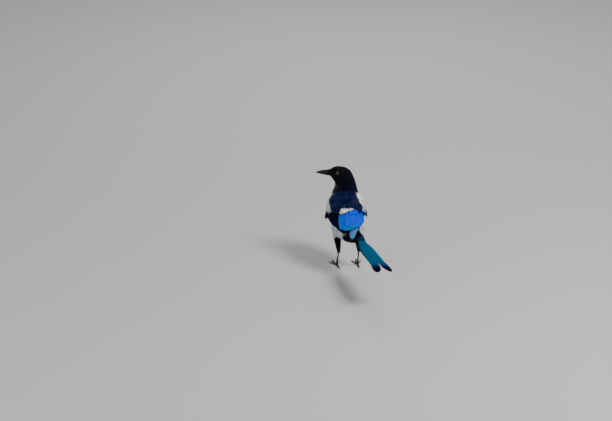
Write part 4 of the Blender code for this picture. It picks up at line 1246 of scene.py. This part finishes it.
bristle_rng = np.random.default_rng(81)
length, angle = stagger(body, 203, body.end - 0.2, lambda at: 1.15, bristle_rng)
reach = np.interp(np.abs(angle), [0, 60, 110, 180], [13, 14, 8, 6])
reach = reach * bristle_rng.uniform(0.8, 1.1, len(angle)) * np.interp(length, [203, 216], [0.7, 1.0])
swing = 180 + bristle_rng.normal(0, 7, len(angle))
lay = Lay(length, angle, swing, reach, 0.8, -0.5, np.where(length > 209, -0.9, -0.1))
made = fans(body, lay, FACE_BLACK, 4, bristle_rng, thick=0.14, dome=0.1)
add_piece("nasal_bristles", made, coat_finish, "plumage_dark")


# LEGS AND FEET. Black scaly skin over bone: overlapping scutes down the front of each shank and
# along each toe, swollen pads under the joints, and curved horn claws.

LEG_BLACK = linear("0b0b0d")
CLAW_BLACK = linear("08080a")
FOOT_RADII = (2.2, 2.9, 2.9, 2.0)
SHANK_RADII = (3.0, 2.6, 1.9, 1.9, 2.2)
ANKLE_UP, TOE_UP, PAD_SWELL, TOE_TAPER = 4.9, 1.55, 0.12, 0.8
Toe = namedtuple("Toe", "name turn length radius claw")
TOES = [
    Toe("inner", 27, 19.0, 1.8, 8.0),
    Toe("middle", 2, 26.0, 2.0, 9.0),
    Toe("outer", -24, 21.0, 1.8, 8.0),
    Toe("hind", 178, 16.0, 2.1, 11.0),
]
leg_finish = skin_material("black leg scales", 0.45, 0.5, 0.08)
claw_finish = skin_material("black claw horn", 0.25, 0.8, 0.03)


def scaled_tube(points, radii, steps, sides=20, scute=0.0, scute_mm=2.0):
    """A tube along a path through points, with steps like scutes across its upper side."""
    rows = np.concatenate([np.asarray(points, float), np.asarray(radii, float)[:, None]], 1)
    curve, share = curve_through(rows, steps)
    path, radius = curve[:, :3], curve[:, 3]
    saw = 1 - (run_along(path) / scute_mm) % 1
    a = round_angles(sides)
    swell = 1 + scute * (saw[:, None] - 0.6) * (0.5 + 0.5 * np.abs(np.sin(a))[None])
    return capped_rings(tube_rings(path, radius[:, None] * swell, sides))


for leg in LEGS:
    hip, thigh, heel, foot, down = leg_points(leg)
    top = heel - down * 1.5
    ankle = foot - down * ANKLE_UP
    stations = [top, heel + down * 3, mix(heel, ankle, 0.2), mix(heel, ankle, 0.8), ankle + down]
    made = (*scaled_tube(stations, SHANK_RADII, 150, 20, 0.09, 2.4), LEG_BLACK)
    add_piece(f"shank_scales_{leg.name}", made, leg_finish, "leg_skin", f"shank_{leg.name}")

    instep = [ankle - down * 0.5, foot - down, foot, foot + np.array([0, 1.5, -0.3])]
    feet = [scaled_tube(instep, FOOT_RADII, 24, 20)]
    claws = []
    for toe in TOES:
        turn = math.radians(leg.side * -toe.turn + leg.toes_turn)
        way = np.array([-math.sin(turn), math.cos(turn), 0.0])
        start = np.array([foot[0], foot[1], TOE_UP])
        joints = 3 if toe.name != "hind" else 2
        share = np.linspace(0, 1, joints * 6 + 1)
        swell = 1.0 + PAD_SWELL * np.cos(2 * math.pi * share * joints)
        path = start + way * (toe.length * share)[:, None]
        radii = toe.radius * swell * mix(1.0, TOE_TAPER, share)
        feet.append(scaled_tube(path, radii, 110, 18, 0.08, 1.7))
        share = np.linspace(0, 1, 18)
        arch = toe.claw * 0.16 * np.sin(math.pi * share) * smooth(0.0, 0.4, share)
        up = mix(path[-1][2], 0.6, smooth(0.1, 1.0, share)) + arch
        ahead = -0.8 + (0.8 + 0.4 + toe.claw * 0.86) * share
        claw_path = np.stack([path[-1][0] + way[0] * ahead, path[-1][1] + way[1] * ahead, up], 1)
        claws.append(scaled_tube(claw_path, mix(radii[-1] * 0.78, 0.22, share**0.9), 36, 14))
    points, triangles = join_parts(feet)
    points[:, 2] = np.maximum(points[:, 2], 0.0)
    made = (points, triangles, LEG_BLACK)
    add_piece(f"foot_scales_{leg.name}", made, leg_finish, "leg_skin", f"foot_{leg.name}")
    points, triangles = join_parts(claws)
    points[:, 2] = np.maximum(points[:, 2], 0.05)
    made = (points, triangles, CLAW_BLACK)
    nodes = [f"claw_{leg.name}_{toe.name}" for toe in TOES]
    add_piece(f"claws_{leg.name}", made, claw_finish, "claw", *nodes)


# STUDIO. A plain pale floor, a soft pale room light and three broad lamps. The camera looks as
# in the photograph: from behind and a little to the left, 20 degrees down, with the bird small.

FLOOR_HALF = 60.0
floor_mesh = bpy.data.meshes.new("floor")
corners = [(x * FLOOR_HALF, y * FLOOR_HALF, 0) for x, y in ((-1, -1), (1, -1), (1, 1), (-1, 1))]
floor_mesh.from_pydata(corners, [], [(0, 1, 2, 3)])
floor = bpy.data.objects.new("floor", floor_mesh)
bpy.context.scene.collection.objects.link(floor)
floor_paint = bpy.data.materials.new("matt pale studio floor")
floor_paint.use_nodes = True
floor_surface = floor_paint.node_tree.nodes["Principled BSDF"]
floor_surface.inputs["Base Color"].default_value = (0.47, 0.46, 0.44, 1)
floor_surface.inputs["Roughness"].default_value = 0.9
floor_mesh.materials.append(floor_paint)

world = bpy.data.worlds.new("soft room")
bpy.context.scene.world = world
world.use_nodes = True
world.node_tree.nodes["Background"].inputs["Color"].default_value = (0.86, 0.92, 1.0, 1)
world.node_tree.nodes["Background"].inputs["Strength"].default_value = 0.42


def lamp(name, place, aim, size, power, colour):
    """A round lamp at a place, turned towards another."""
    light = bpy.data.lights.new(name, "AREA")
    light.shape = "DISK"
    light.size = size
    light.energy = power
    light.color = colour
    made = bpy.data.objects.new(name, light)
    made.location = place
    way = np.array(aim) - np.array(place)
    made.rotation_euler = (
        math.acos(-way[2] / np.linalg.norm(way)),
        0.0,
        math.atan2(-way[0], way[1]),
    )
    bpy.context.scene.collection.objects.link(made)


BIRD_MIDDLE = (0.0, 0.03, 0.11)
lamp("key", (1.1, -1.2, 2.0), BIRD_MIDDLE, 0.8, 66, (1.0, 0.97, 0.92))
lamp("fill", (-1.8, -0.9, 1.2), BIRD_MIDDLE, 1.6, 16, (0.9, 0.95, 1.0))
lamp("rim", (0.4, 1.9, 1.5), BIRD_MIDDLE, 1.0, 18, (1.0, 1.0, 1.0))

AZIMUTH, ELEVATION = math.radians(-12.0), math.radians(20.0)
DISTANCE = 9.0
MM_A_PIXEL = 2.19
IMAGE = (612, 421)
SENSOR_MM = 36.0
# The floor point between the feet, in the bird's millimetres, and its pixel in the photograph.
BETWEEN_FEET, FEET_PIXEL = (-2.0, 0.0, 0.0), (347.0, 264.5)
back_way = np.array(
    [
        math.sin(AZIMUTH) * math.cos(ELEVATION),
        -math.cos(AZIMUTH) * math.cos(ELEVATION),
        math.sin(ELEVATION),
    ]
)
right_way = np.array([math.cos(AZIMUTH), math.sin(AZIMUTH), 0.0])
up_way = np.cross(back_way, right_way)
seen_right, seen_down = FEET_PIXEL[0] - IMAGE[0] / 2, FEET_PIXEL[1] - IMAGE[1] / 2
aim = (np.array(BETWEEN_FEET) - MIDDLE) * MM
aim = aim + (up_way * seen_down - right_way * seen_right) * MM_A_PIXEL * MM
camera_data = bpy.data.cameras.new("camera")
camera_data.sensor_width = SENSOR_MM
camera_data.lens = SENSOR_MM * DISTANCE / (IMAGE[0] * MM_A_PIXEL * MM)
camera_data.clip_end = 50.0
camera = bpy.data.objects.new("camera", camera_data)
camera.location = aim + back_way * DISTANCE
camera.rotation_euler = (math.pi / 2 - ELEVATION, 0.0, AZIMUTH)
bpy.context.scene.collection.objects.link(camera)
bpy.context.scene.camera = camera
